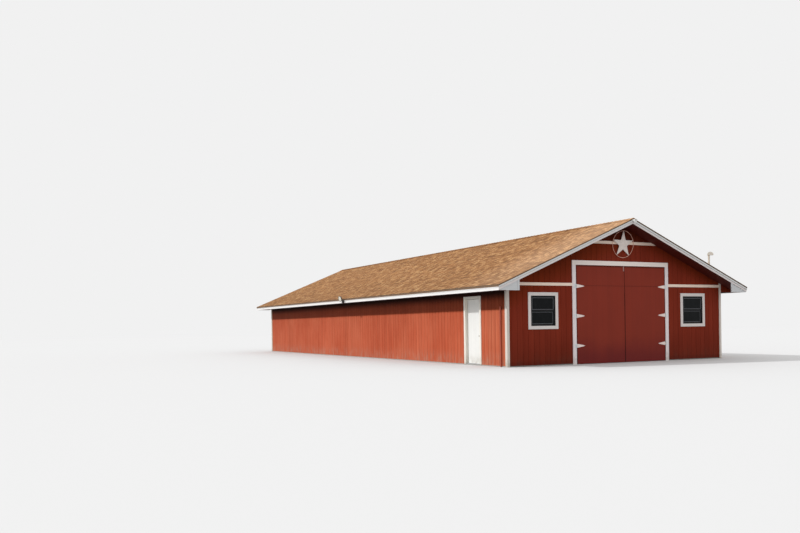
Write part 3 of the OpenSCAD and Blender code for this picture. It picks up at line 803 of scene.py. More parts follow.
@dataclass(frozen=True)
class StarMetal(Finish):
    """Dull sheet metal of the gable star, with a rust-tinged ring round it."""

    centre_x: float = 0.0
    centre_z: float = 3.8
    ring_radius: float = 0.43
    ring_reach: float = 0.016
    ring_blend: float = 0.006
    colour: Triple = (0.92, 0.82, 0.76)
    ring: Triple = (0.80, 0.44, 0.34)
    rust: Triple = (0.34, 0.18, 0.12)

    def lay(self, paint: Paint) -> None:
        """Lay the sheet's clouds, specks of rust and the ring's warmer tone.

        Args:
            paint: The material's tree.
        """
        across, _, up = paint.axes
        x = across - self.centre_x
        z = up - self.centre_z
        inside = (self.ring_radius - self.ring_reach) ** 2
        ring = (x * x + z * z).rise(inside, inside + self.ring_blend)
        clouds = paint.even_noise(6.0, 4.0)
        specks = paint.even_noise(60.0).rise(0.62, 0.72)
        colour = paint.mix(ring, self.colour, self.ring)
        colour = paint.mix(specks * 0.35, colour, self.rust)
        colour = paint.shaded(colour, 0.78 + clouds * 0.42)
        paint.surface(colour, 0.55 + clouds * 0.2, clouds, depth=0.0006, specular=0.35)


@dataclass(frozen=True)
class DarkVinyl(Finish):
    """The windows' dark frames and grey beads, with dust in a thin film."""

    colour: Triple = (0.009, 0.009, 0.011)
    dust: Triple = (0.09, 0.085, 0.08)
    dusting: float = 0.14

    def lay(self, paint: Paint) -> None:
        """Lay the film of dust.

        Args:
            paint: The material's tree.
        """
        film = paint.even_noise(9.0, 4.0).rise(0.45, 0.8)
        colour = paint.mix(film * self.dusting, self.colour, self.dust)
        paint.surface(colour, 0.42 + film * 0.3, film, depth=0.0003, specular=0.18)


@dataclass(frozen=True)
class WindowGlass(Finish):
    """Tinted panes that give a dark look from outside, with faint smears."""

    colour: Triple = (0.006, 0.007, 0.008)
    smear: Triple = (0.022, 0.024, 0.026)

    def lay(self, paint: Paint) -> None:
        """Lay the smears.

        Args:
            paint: The material's tree.
        """
        smears = paint.grain(Axis.UP, 3.0, 8.0).rise(0.4, 0.85)
        colour = paint.mix(smears * 0.35, self.colour, self.smear)
        paint.surface(colour, 0.05 + smears * 0.12, specular=0.075)


@dataclass(frozen=True)
class LampLens(Finish):
    """The lamp's pressed glass lens, frosted by weather, with fine rings pressed into it."""

    centre: Triple = (0.0, 0.0, 0.0)
    colour: Triple = (0.88, 0.82, 0.70)
    pitch: float = 0.012

    def lay(self, paint: Paint) -> None:
        """Lay the rings and the dust between them.

        Args:
            paint: The material's tree.
        """
        offsets = [axis - middle for axis, middle in zip(paint.axes, self.centre)]
        squares = [offset * offset for offset in offsets]
        radius = paint.node("ShaderNodeMath", {"operation": "SQRT"}, [sum(squares)])
        rings = ((radius / self.pitch).rest() - 0.5).size() * 2.0
        dust = paint.even_noise(30.0).rise(0.4, 0.8)
        colour = paint.shaded(self.colour, 0.94 + rings * 0.06 - dust * 0.16)
        paint.surface(colour, 0.22 + dust * 0.3, rings, depth=0.0012)


# The front uses the class's darker red as painted shade, and adds painted shade above the gable band.
FRONT_SIDING = GroovedSiding("painted_front_siding", peak_shade_tone=0.45)
REAR_SIDING = GroovedSiding(
    "painted_rear_siding",
    colour=(0.30, 0.046, 0.022),
    faded=(0.36, 0.085, 0.050),
    fading=0.8,
    groove_tone=0.2,
    dust=(0.30, 0.15, 0.10),
    foot_shade=0.1,
)
SIDE_SIDING = GroovedSiding(
    "painted_side_siding",
    across=Axis.ALONG,
    outside=4.35,
    # A lighter red than the front's: painted sunlight on the side walls.
    colour=(0.478, 0.086, 0.036),
    faded=(0.55, 0.158, 0.080),
    fading=0.55,
    dust=(0.42, 0.25, 0.18),
    dusting=0.55,
    foot_shade=0.0,
    bleaching=0.3,
    groove_tone=0.25,
    roof_slope=0.0,
    # Painted shade from the eave: the edge of its cast shadow, then deep shade right under the soffit.
    overhang_shade=(1.66, 1.75),
    overhang_shade_tone=0.49,
    overhang_shade_colour=(0.475, 0.080, 0.026),
    shade_near_roof=(1.93, 2.25),
    shade_near_roof_tone=0.90,
    ragged=0.03,
)
RED_BOARDS = PaintedBoard(
    "painted_red_boards", Axis.ALONG, (0.195, 0.027, 0.008), (0.10, 0.025, 0.015), wear=0.3
)
# Red rake soffits darkened below the red boards' colour: painted shade under the rakes.
SHADED_RAKE_SOFFITS = PaintedBoard(
    "rake_soffits_in_painted_shade", Axis.ALONG, (0.10, 0.009, 0.004), (0.06, 0.02, 0.012), wear=0.2
)
# Red eave soffits darkened nearly to black: painted shade under the eaves.
SHADED_EAVE_SOFFITS = PaintedBoard(
    "eave_soffits_in_painted_shade", Axis.ALONG, (0.036, 0.0055, 0.0035), (0.04, 0.02, 0.014), wear=0.3
)
DOOR_CASINGS = PaintedBoard("white_door_casings", Axis.UP, (0.87, 0.795, 0.80), wear=0.2)
CORNER_BOARDS = PaintedBoard("white_corner_boards", Axis.UP, (0.70, 0.63, 0.565), wear=0.25)
WINDOW_CASINGS = PaintedBoard("white_window_casings", Axis.UP, (0.77, 0.71, 0.685))
CROSS_BOARDS = PaintedBoard("white_cross_boards", Axis.ACROSS, (0.95, 0.845, 0.79), wear=0.2)
BAND_BOARDS = PaintedBoard("cream_band_boards", Axis.ACROSS, (0.98, 0.79, 0.66), wear=0.2)
RAKE_BOARDS = RakePaint("grey_rake_boards", Axis.ACROSS, (0.70, 0.71, 0.70), wear=0.25)
RETURNS = PaintedBoard("grey_eave_returns", Axis.ACROSS, (0.63, 0.64, 0.65), wear=0.25)
FASCIAS = PaintedBoard("white_fascias", Axis.ALONG, (0.86, 0.84, 0.825), wear=0.2)
DOOR_FRAME = PaintedBoard("white_door_frame", Axis.UP, (0.87, 0.82, 0.73), wear=0.25)
WHITE_DOOR = PaintedBoard(
    "white_walk_door", Axis.UP, (0.86, 0.855, 0.82), (0.62, 0.60, 0.55), wear=0.15, sheen=0.4
)
SHINGLES = MineralShingle("laminated_shingles")
OLD_SHINGLES = ShingleEdge("old_shingle_edges")
SHEATHING = RoofSheathing("roof_sheathing")
RAFTER_TIMBER = SawnTimber("rafter_timber", Axis.ACROSS)
RIDGE_TIMBER = SawnTimber("ridge_timber", Axis.ALONG)
CONCRETE = SlabConcrete("slab_concrete")
WHITE_IRON = CoatedMetal("white_painted_iron")
DOOR_IRON = DoorIron("white_door_iron")
PLATE_IRON = CoatedMetal("pale_hinge_plates", (0.76, 0.80, 0.82), chipped=0.2)
LAMP_ENAMEL = CoatedMetal("white_lamp_enamel", (0.84, 0.83, 0.80), chipped=0.15, roughness=0.3)
LAMP_BRONZE = CoatedMetal(
    "dark_lamp_housing", (0.036, 0.030, 0.026), (0.09, 0.05, 0.03), chipped=0.3, roughness=0.45
)
DRIP_METAL = CoatedMetal(
    "brown_drip_edge", (0.165, 0.092, 0.044), (0.16, 0.07, 0.03), chipped=0.4, roughness=0.55
)
RED_PIPE = CoatedMetal("red_painted_pipe", (0.42, 0.080, 0.042), chipped=0.25, roughness=0.55)
ZINC = BareMetal("zinc_coated_steel")
AGED_BRASS = BareMetal(
    "aged_brass", (0.34, 0.29, 0.20), (0.20, 0.17, 0.13), crystals=120.0, roughness=0.30, metallic=0.9
)
PANES = WindowGlass("dark_panes")
WINDOW_FRAMES = DarkVinyl("dark_window_frames")
GLAZING_BEADS = DarkVinyl("grey_glazing_beads", (0.15, 0.155, 0.17))
MAST_STEEL = BareMetal("weathered_mast_steel", (0.72, 0.69, 0.62), (0.56, 0.53, 0.46), metallic=0.3)


def placed(name: str, data: bpy.types.ID) -> bpy.types.Object:
    """Put some data into the scene.

    Args:
        name: Name of the new object.
        data: Its mesh, light or camera.

    Returns:
        The object.
    """
    made = bpy.data.objects.new(name, data)
    bpy.context.scene.collection.objects.link(made)
    return made


class Pattern(NodeGraph):
    """A Geometry Nodes tree with named sizes, whose result becomes a plain mesh."""

    def __init__(self, name: str) -> None:
        """Start an empty tree with one geometry output.

        Args:
            name: Name of the tree.
        """
        super().__init__(bpy.data.node_groups.new(name, "GeometryNodeTree"))
        self.tree.interface.new_socket("Geometry", in_out="OUTPUT", socket_type="NodeSocketGeometry")
        self.given = self.tree.nodes.new("NodeGroupInput")
        self.identifiers: dict[str, str] = {}

    def sizes(self, *names: str, whole: bool = False) -> list[Signal]:
        """Add named inputs to the tree.

        Args:
            names: What the inputs are called in the tree's interface.
            whole: True for counts and seeds.

        Returns:
            The inputs inside the tree.
        """
        kind = "NodeSocketInt" if whole else "NodeSocketFloat"
        made = []
        for name in names:
            item = self.tree.interface.new_socket(name, in_out="INPUT", socket_type=kind)
            self.identifiers[name] = item.identifier
            made.append(Signal(self, self.find(self.given.outputs, item.identifier)))
        return made

    def random(self, span: Span, seed: "Signal | int", group: Signal | None = None) -> Signal:
        """Return a random number for each point or copy.

        Args:
            span: Lowest and highest number.
            seed: Seed of the random numbers.
            group: Number of the group that shares one random number, if points go in groups.

        Returns:
            The number.
        """
        inputs = {"Min_001": span[0], "Max_001": span[1], "Seed": seed}
        if group is not None:
            inputs["ID"] = group
        return self.node("FunctionNodeRandomValue", {"data_type": "FLOAT"}, inputs, "Value_001")

    def row(self, count: "Signal | int", step: Signal) -> Signal:
        """Return points in a straight row from the origin."""
        return self.node("GeometryNodeMeshLine", inputs={"Count": count, "Offset": step})

    def copies(self, points: Signal, shape: Signal, scale: "Signal | Triple" = (1.0, 1.0, 1.0)) -> Signal:
        """Return copies of a shape on points."""
        inputs = {"Points": points, "Instance": shape, "Scale": scale}
        return self.node("GeometryNodeInstanceOnPoints", inputs=inputs)

    def toned(self, copies: Signal, span: Span, seed: int) -> Signal:
        """Store a random tone on each copy, for the shader to read.

        Args:
            copies: The copies.
            span: Lowest and highest tone.
            seed: Seed of the random numbers.

        Returns:
            The copies with their tone.
        """
        settings = {"data_type": "FLOAT", "domain": "INSTANCE"}
        inputs = {"Geometry": copies, "Name": TONE, "Value": self.random(span, seed)}
        return self.node("GeometryNodeStoreNamedAttribute", settings, inputs)

    def joined(self, *shapes: Signal) -> Signal:
        """Join several shapes.

        Args:
            shapes: The shapes.

        Returns:
            One geometry.
        """
        made = self.node("GeometryNodeJoinGeometry")
        for shape in shapes:
            self.feed(made.socket.node.inputs[0], shape)
        return made

    def end(self, shape: Signal, finish: Finish) -> None:
        """End the tree: copies made real, then the finish.

        Args:
            shape: What the tree has built.
            finish: Its finish.
        """
        real = self.node("GeometryNodeRealizeInstances", inputs=[shape])
        inputs = {"Geometry": real, "Material": finish.material()}
        dressed = self.node("GeometryNodeSetMaterial", inputs=inputs)
        self.feed(self.tree.nodes.new("NodeGroupOutput").inputs[0], dressed)

    def make(self, name: str, place: Matrix, **sizes: float) -> bpy.types.Object:
        """Return the tree's result for some sizes, as an object with a plain mesh.

        Args:
            name: Name of the piece.
            place: Where the result goes.
            sizes: A value for each named input.

        Returns:
            The object, at the origin, with its place in its mesh.
        """
        made = placed(name, bpy.data.meshes.new(name))
        modifier = made.modifiers.new("pattern", "NODES")
        modifier.node_group = self.tree
        for size, value in sizes.items():
            modifier[self.identifiers[size]] = value
        evaluated = made.evaluated_get(bpy.context.evaluated_depsgraph_get())
        mesh = bpy.data.meshes.new_from_object(evaluated)
        made.modifiers.remove(modifier)
        mesh.transform(place)
        made.data = mesh
        mesh.name = name
        return made


class ShingleCourses(Pattern):
    """Courses of laminated shingles on a flat slope: X runs up from the eave and Z out of the roof."""

    strip_tones: Span = (0.0, 0.4)
    strip_seed: int = 5
    tab_tones: Span = (0.12, 1.0)
    tab_seed: int = 9
    tab_widths: Span = (0.45, 0.9)
    tab_shifts: Span = (-0.2, 0.2)
    course_shifts: Span = (-0.5, 0.5)
    end_margin: float = 1.4
    tab_lift: float = 0.0004

    def __init__(self) -> None:
        """Build the tree: a wedge strip for each course and thicker tabs over it."""
        super().__init__("shingle_courses")
        courses, tabs, seed = self.sizes("courses", "tabs_in_course", "seed", whole=True)
        length, exposure = self.sizes("length", "exposure")
        butt, tab_butt = self.sizes("strip_thickness", "tab_thickness")
        thin = butt * THIN_END
        rows = self.row(courses, self.point(exposure, 0.0, 0.0))
        strips = self.copies(rows, self.wedge(exposure, length, butt, thin))
        pitch = length / (tabs + self.end_margin)
        tab = self.wedge(exposure, pitch, tab_butt, thin + self.tab_lift)
        reach = exposure * (courses - 1.0)
        inputs = {"Size X": reach, "Size Y": pitch * (tabs - 1.0), "Vertices X": courses, "Vertices Y": tabs}
        grid = self.node("GeometryNodeMeshGrid", inputs=inputs)
        course = (self.node("GeometryNodeInputIndex") / tabs).whole()
        offset = self.random(self.tab_shifts, seed) + self.random(self.course_shifts, seed + 3.0, course)
        shift = self.point(reach * 0.5, offset * pitch, 0.0)
        places = self.node("GeometryNodeSetPosition", inputs={"Geometry": grid, "Offset": shift})
        width = self.random(self.tab_widths, seed + 1.0)
        scattered = self.copies(places, tab, self.point(1.0, width, 1.0))
        strips = self.toned(strips, self.strip_tones, self.strip_seed)
        scattered = self.toned(scattered, self.tab_tones, self.tab_seed)
        self.end(self.joined(strips, scattered), SHINGLES)

    def wedge(self, depth: Signal, width: Signal, butt: Signal, thin: Signal) -> Signal:
        """Return a closed wedge from X = 0 up the slope, thickest at its lower edge.

        Args:
            depth: Length up the slope.
            width: Length along the eave.
            butt: Thickness at the lower edge.
            thin: Thickness at the upper edge.

        Returns:
            The mesh.
        """
        cube = self.node("GeometryNodeMeshCube")
        x, y, z = self.parts(self.node("GeometryNodeInputPosition"))
        up = x + 0.5
        place = self.point(up * depth, y * width, (z + 0.5) * (butt + (thin - butt) * up))
        return self.node("GeometryNodeSetPosition", inputs={"Geometry": cube, "Position": place})


class RidgeCaps(Pattern):
    """Folded shingles laid over each other along the ridge, from the front to the back."""

    lap: float = 0.12
    tones: Span = (0.05, 0.6)
    seed: int = 3

    def __init__(self) -> None:
        """Build the tree: one folded cap, copied along Y."""
        super().__init__("ridge_caps")
        count = self.sizes("count", whole=True)[0]
        exposure, wing, slope, butt = self.sizes("exposure", "wing", "slope", "thickness")
        cube = self.node("GeometryNodeMeshCube", inputs={"Vertices X": 3})
        x, y, z = self.parts(self.node("GeometryNodeInputPosition"))
        back = y + 0.5
        thickness = butt * (1.0 - back * (1.0 - THIN_END))
        fold = x.size() * wing * slope * 2.0
        length = exposure * (1.0 + self.lap)
        place = self.point(x * wing * 2.0, back * length, (z + 0.5) * thickness - fold)
        cap = self.node("GeometryNodeSetPosition", inputs={"Geometry": cube, "Position": place})
        line = self.row(count, self.point(0.0, exposure, 0.0))
        self.end(self.toned(self.copies(line, cap), self.tones, self.seed), SHINGLES)


class BoltRows(Pattern):
    """Round bolt heads that look towards -Y: rows of them, one row above another."""

    def __init__(self, name: str, finish: Finish) -> None:
        """Build the tree.

        Args:
            name: Name of the tree.
            finish: Finish of the heads.
        """
        super().__init__(name)
        rows, bolts = self.sizes("rows", "bolts_in_row", whole=True)
        row_step, bolt_step, radius, height = self.sizes("row_step", "bolt_step", "radius", "height")
        ball = self.node("GeometryNodeMeshUVSphere", inputs={"Segments": 12, "Rings": 6, "Radius": 1.0})
        scale = self.point(radius, height, radius)
        head = self.node("GeometryNodeTransform", inputs={"Geometry": ball, "Scale": scale})
        one_row = self.copies(self.row(bolts, self.point(bolt_step, 0.0, 0.0)), head)
        self.end(self.copies(self.row(rows, self.point(0.0, 0.0, row_step)), one_row), finish)


def grown(rect: Rect, margin: float) -> Rect:
    """Return a rectangle whose sides are moved outwards."""
    left, bottom, right, top = rect
    return left - margin, bottom - margin, right + margin, top + margin


class Joinery:
    """Collects the boards, rings and blocks of one piece in a single mesh."""

    disc_sides: int = 32
    shoulder_reach: float = 0.7
    shoulder_height: float = 0.5
    sharp_angle: float = math.radians(40)

    def __init__(self) -> None:
        """Start with an empty mesh."""
        self.mesh = bmesh.new()

    def prism(self, outline: Sequence[Span], y_near: float, y_far: float) -> None:
        """Add a solid with an outline in X and Z.

        Args:
            outline: Corners of the outline.
            y_near: Where it starts along Y.
            y_far: Where it ends along Y.
        """
        near = [self.mesh.verts.new((x, y_near, z)) for x, z in outline]
        far = [self.mesh.verts.new((x, y_far, z)) for x, z in outline]
        self.mesh.faces.new(near)
        self.mesh.faces.new(list(reversed(far)))
        for k, corner in enumerate(near):
            self.mesh.faces.new([corner, near[k - 1], far[k - 1], far[k]])

    def block(self, low: Triple, high: Triple) -> None:
        """Add a box between two corners."""
        outline = [(low[0], low[2]), (high[0], low[2]), (high[0], high[2]), (low[0], high[2])]
        self.prism(outline, low[1], high[1])

    def ring(self, outer: Rect, inner: Rect, y_near: float, y_far: float) -> None:
        """Add a mitred rectangular frame.

        Args:
            outer: Left, bottom, right and top of its outside.
            inner: Left, bottom, right and top of its opening.
            y_near: Where it starts along Y.
            y_far: Where it ends along Y.
        """
        loops = []
        for left, bottom, right, top in (outer, inner):
            corners = [(left, bottom), (right, bottom), (right, top), (left, top)]
            for y in (y_near, y_far):
                loops.append([self.mesh.verts.new((x, y, z)) for x, z in corners])
        outer_near, outer_far, inner_near, inner_far = loops
        round_the_bar = [outer_near, inner_near, inner_far, outer_far, outer_near]
        for a, b in zip(round_the_bar, round_the_bar[1:]):
            for k in range(len(a)):
                self.mesh.faces.new([a[k - 1], a[k], b[k], b[k - 1]])

    def disc(
        self, centre: Vector, normal: Vector, radius: float, thickness: float, domed: float = 0.0
    ) -> None:
        """Add a round plate, its front domed if wanted.

        Args:
            centre: Middle of its back face.
            normal: The way its front looks.
            radius: Its radius.
            thickness: Thickness at its edge.
            domed: How far the middle of the front stands above its edge.
        """
        turn = normal.to_track_quat("Z", "Y").to_matrix().to_4x4()
        place = Matrix.Translation(centre) @ turn
        shoulder = (radius * self.shoulder_reach, thickness + domed * self.shoulder_height)
        levels = [(0.0, 0.0), (radius, 0.0), (radius, thickness), shoulder, (0.0, thickness + domed)]
        rings = []
        for reach, height in levels:
            count = self.disc_sides if reach else 1
            angles = [2 * math.pi * k / count for k in range(count)]
            points = [(reach * math.cos(a), reach * math.sin(a), height) for a in angles]
            rings.append([self.mesh.verts.new(place @ Vector(p)) for p in points])
        for low, high in zip(rings, rings[1:]):
            for k in range(self.disc_sides):
                corners = [low[k % len(low)], low[(k + 1) % len(low)]]
                corners += [high[(k + 1) % len(high)], high[k % len(high)]]
                self.mesh.faces.new(list(dict.fromkeys(corners)))

    def finished(self, name: str, finish: Finish, bevel: float = 0.0) -> bpy.types.Object:
        """Return the piece as an object.

        Args:
            name: Name of the piece.
            finish: Its finish.
            bevel: Width of the bevel on its sharp edges.

        Returns:
            The object, at the origin.
        """
        bmesh.ops.recalc_face_normals(self.mesh, faces=self.mesh.faces)
        if bevel:
            edges = [edge for edge in self.mesh.edges if edge.is_manifold]
            sharp = [edge for edge in edges if edge.calc_face_angle() > self.sharp_angle]
            bmesh.ops.bevel(self.mesh, geom=sharp, offset=bevel, segments=2, profile=0.6, affect="EDGES")
        data = bpy.data.meshes.new(name)
        self.mesh.to_mesh(data)
        self.mesh.free()
        data.materials.append(finish.material())
        return placed(name, data)


@dataclass
class Assembly:
    """A group of pieces of the barn that are built and dressed together."""

    pieces: list[str] = field(default_factory=list, init=False)

    def build(self) -> None:
        """Build and dress the pieces."""
        raise NotImplementedError

    def dress(self, finish: Finish, *nodes: str) -> None:
        """Give CAD nodes a finish.

        Args:
            finish: The finish.
            nodes: Names of the nodes.
        """
        for node in nodes:
            for material_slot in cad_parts[node].material_slots:
                material_slot.material = finish.material()
            self.pieces.append(f"{node} in {finish.name}")

    def settle(self, piece: bpy.types.Object, body: Body, slot: str, *stands_for: str) -> None:
        """Let a new piece ride on its body.

        Args:
            piece: The piece, with its place in its mesh.
            body: The body that carries it.
            slot: The record's material slot; not used.
            stands_for: CAD nodes that it replaces.
        """
        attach(piece, body.value)
        if stands_for:
            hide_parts(*stands_for)
        self.pieces.append(f"{piece.name}, {len(piece.data.polygons)} faces")


@dataclass
class Shell(Assembly):
    """Floor slab, walls and the siding that closes the eave boxes."""

    def build(self) -> None:
        """Dress the slab and the walls."""
        self.dress(CONCRETE, "floor_slab")
        self.dress(FRONT_SIDING, "front_wall_left", "front_wall_right", "front_gable", "eave_box_ends")
        self.dress(SIDE_SIDING, "left_wall_front", "left_wall_header", "left_wall_back", "right_wall")
        self.dress(REAR_SIDING, "back_wall")


@dataclass
class Trim(Assembly):
    """White boards on the corners, the gables and the eaves, and the red soffits behind them, darkened as
    painted shade.
    """

    nail_radius: float = 0.0045
    nail_height: float = 0.0012
    nail_step: float = 0.4
    nail_inset: float = 0.03
    first_nail: float = 0.12
    end_margin: float = 0.2

    def build(self) -> None:
        """Dress the boards and nail the casings."""
        self.dress(CORNER_BOARDS, "corner_boards")
        self.dress(DOOR_CASINGS, "door_casing_left", "door_casing_right")
        self.dress(CROSS_BOARDS, "door_casing_head")
        self.dress(BAND_BOARDS, "band_boards")
        self.dress(RAKE_BOARDS, "rake_boards")
        self.dress(RETURNS, "eave_returns")
        self.dress(FASCIAS, "fascias")
        self.dress(SHADED_EAVE_SOFFITS, "eave_soffits")
        self.dress(SHADED_RAKE_SOFFITS, "rake_soffits")
        self.nail_casings()

    def nail_casings(self) -> None:
        """Put a pair of nails at each stud along the boards beside the barn doorway."""
        nails = BoltRows("casing_nails", WHITE_IRON)
        for side in SIDES:
            low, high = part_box(f"door_casing_{side}")
            made = nails.make(
                f"casing_nails_{side}",
                Matrix.Translation((low.x + self.nail_inset, low.y, low.z + self.first_nail)),
                rows=math.floor((high.z - low.z - self.end_margin) / self.nail_step) + 1,
                bolts_in_row=2,
                row_step=self.nail_step,
                bolt_step=high.x - low.x - 2 * self.nail_inset,
                radius=self.nail_radius,
                height=self.nail_height,
            )
            self.settle(made, Body.BUILDING, "white_trim")


@dataclass
class Roof(Assembly):
    """Rafters, ridge beam, ties, the deck, an old layer of shingles, the new one and the metal edges."""

    cover: float = 0.010
    old_layer: float = 0.010
    deck: float = 0.024
    courses: int = 39
    tabs: int = 150
    right_seed: int = 11
    left_seed: int = 41
    strip_thickness: float = 0.0052
    tab_thickness: float = 0.0090
    cap_wing: float = 0.15
    caps: int = 124
    cap_thickness: float = 0.0140
    fascia_strip: float = 0.012
    metal: float = 0.0012
    eave_metal_height: float = 0.054
    rake_metal_height: float = 0.024
    shingle_overhang: float = 0.003
    corner: Vector = field(init=False)

    def build(self) -> None:
        """Dress the timber, lay the shingles with the layers under them, cap the ridge and fit the metal."""
        self.dress(RAFTER_TIMBER, "rafters", "collar_ties")
        self.dress(RIDGE_TIMBER, "ridge_beam")
        self.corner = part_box("roof_right")[1]
        self.lay_shingles()
        low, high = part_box("fascias")
        old_under = self.under(self.cover, self.old_layer)
        heights = (self.under(self.cover, self.old_layer, self.deck), old_under)
        reach = high.x - self.fascia_strip
        self.lay_layer("roof_deck", "bare_timber", SHEATHING, heights, reach, (low.y, high.y))
        heights = (old_under, self.under(self.cover))
        reach = self.corner.x - self.shingle_overhang
        gable = self.corner.y - self.shingle_overhang
        self.lay_layer("old_shingles", "shingles", OLD_SHINGLES, heights, reach, (-gable, gable))
        self.lay_caps()
        self.fit_metal_edges(old_under)

    def under(self, *layers: float) -> float:
        """Return the height at the ridge of the face that is under some layers."""
        return self.corner.z - sum(layers) / math.cos(ROOF_ANGLE)

    def slope_outline(self, reach: float, under: float, over: float, side: float) -> list[Span]:
        """Return a sloping layer's corners in X and Z, from the ridge out to its reach on one side."""
        fall = ROOF_SLOPE * reach
        return [(0.0, under), (reach * side, under - fall), (reach * side, over - fall), (0.0, over)]

    def lay_layer(
        self, name: str, slot: str, finish: Finish, heights: Span, reach: float, ends: Span
    ) -> None:
        """Lay a smooth layer on both slopes, under the new shingles.

        Args:
            name: Name of the pieces, before their side.
            slot: The record's material slot.
            finish: Their finish.
            heights: Heights of the underside and the upper face at the ridge.
            reach: How far the layer runs down from the ridge, across the barn.
            ends: Where it starts and ends along Y.
        """
        for side, sign in SIDES.items():
            joinery = Joinery()
            joinery.prism(self.slope_outline(reach, *heights, sign), *ends)
            self.settle(joinery.finished(f"{name}_{side}", finish), Body.BUILDING, slot, f"roof_{side}")

    def fit_metal_edges(self, top: float) -> None:
        """Fit the metal edges that hang over the strips of the eaves and the rakes.

        Args:
            top: Height at the ridge of the face that they lie on.
        """
        _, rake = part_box("rake_boards")
        metal_x = rake.x + self.metal
        metal_y = rake.y + self.metal
        joinery = Joinery()
        for side in SIDES.values():
            height = top - ROOF_SLOPE * metal_x
            near, far = sorted((side * rake.x, side * metal_x))
            joinery.block((near, -metal_y, height - self.eave_metal_height), (far, metal_y, height))
            near, far = sorted((side * rake.y, side * metal_y))
            for slope_side in SIDES.values():
                outline = self.slope_outline(rake.x, top - self.rake_metal_height, top, slope_side)
                joinery.prism(outline, near, far)
        self.settle(joinery.finished("roof_metal_edges", DRIP_METAL), Body.BUILDING, "dark_frame")

    def lay_shingles(self) -> None:
        """Lay the courses of both slopes, the left one turned half round."""
        start = self.cover * ROOF_SLOPE
        run = self.corner.x / math.cos(ROOF_ANGLE) - start
        up = Vector((-math.cos(ROOF_ANGLE), 0.0, math.sin(ROOF_ANGLE)))
        out = Vector((math.sin(ROOF_ANGLE), 0.0, math.cos(ROOF_ANGLE)))
        eave = Vector((self.corner.x, 0.0, self.under(self.cover) - ROOF_SLOPE * self.corner.x))
        place = Matrix((up, out.cross(up), out)).transposed().to_4x4()
        place.translation = eave + up * start
        pattern = ShingleCourses()
        for side, seed, turn in (("right", self.right_seed, 0.0), ("left", self.left_seed, math.pi)):
            made = pattern.make(
                f"shingles_{side}",
                Matrix.Rotation(turn, 4, "Z") @ place,
                courses=self.courses,
                tabs_in_course=self.tabs,
                seed=seed,
                length=2 * self.corner.y,
                exposure=run / self.courses,
                strip_thickness=self.strip_thickness,
                tab_thickness=self.tab_thickness,
            )
            self.settle(made, Body.BUILDING, "shingles", f"roof_{side}")

    def lay_caps(self) -> None:
        """Lay the folded shingles along the ridge."""
        made = RidgeCaps().make(
            "ridge_shingles",
            Matrix.Translation((0.0, -self.corner.y, self.corner.z)),
            count=self.caps,
            exposure=2 * self.corner.y / (self.caps + RidgeCaps.lap),
            wing=self.cap_wing,
            slope=ROOF_SLOPE,
            thickness=self.cap_thickness,
        )
        self.settle(made, Body.BUILDING, "shingles", "ridge_cap")


@dataclass
class BarnDoors(Assembly):
    """The two large doors with their strap hinges, the bolts through them and the stops."""

    strap_bolts: int = 3
    bolt_step: float = 0.062
    first_bolt: float = 0.060
    head_radius: float = 0.009
    head_height: float = 0.005
    hinges: int = 3
    hinge_z: float = 0.575
    hinge_step: float = 0.925
    axis_x: float = 1.848
    strap_face_y: float = -11.205
    seam_offset: float = 0.008

    def build(self) -> None:
        """Dress the doors and the ironwork, and add the bolts."""
        low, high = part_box("left_barn_door")
        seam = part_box("right_barn_door")[0].x + self.seam_offset
        paint = DoorPaint("painted_barn_doors", top=high.z, side=-low.x, seam=seam)
        self.dress(paint, "left_barn_door", "right_barn_door")
        self.dress(RED_BOARDS, "door_stops")
        self.dress(DOOR_IRON, "left_door_ironwork")
        self.dress(WHITE_IRON, "right_door_ironwork")
        self.dress(PLATE_IRON, "hinge_plates")
        bolts = BoltRows("hinge_bolts", WHITE_IRON)
        reach = self.bolt_step * (self.strap_bolts - 1)
        left_x = -self.axis_x + self.first_bolt
        right_x = self.axis_x - self.first_bolt - reach
        self.add_bolts(bolts, "strap_bolts_left", Body.LEFT_DOOR, left_x)
        self.add_bolts(bolts, "strap_bolts_right", Body.RIGHT_DOOR, right_x)

    def add_bolts(self, bolts: BoltRows, name: str, body: Body, start_x: float) -> None:
        """Put a row of bolts on each strap of one door.

        Args:
            bolts: The pattern of bolt heads.
            name: Name of the piece.
            body: The door that carries it.
            start_x: Place of the row's first bolt.
        """
        made = bolts.make(
            name,
            Matrix.Translation((start_x, self.strap_face_y, self.hinge_z)),
            rows=self.hinges,
            bolts_in_row=self.strap_bolts,
            row_step=self.hinge_step,
            bolt_step=self.bolt_step,
            radius=self.head_radius,
            height=self.head_height,
        )
        self.settle(made, body, "white_iron")


@dataclass
class WalkDoor(Assembly):
    """The plain white door in the left wall with its frame, sill and knobs."""

    def build(self) -> None:
        """Dress the door and its frame."""
        self.dress(WHITE_DOOR, "walk_door")
        self.dress(DOOR_FRAME, "walk_door_jambs", "walk_door_head")
        self.dress(ZINC, "walk_door_sill")
        self.dress(AGED_BRASS, "walk_door_knobs")


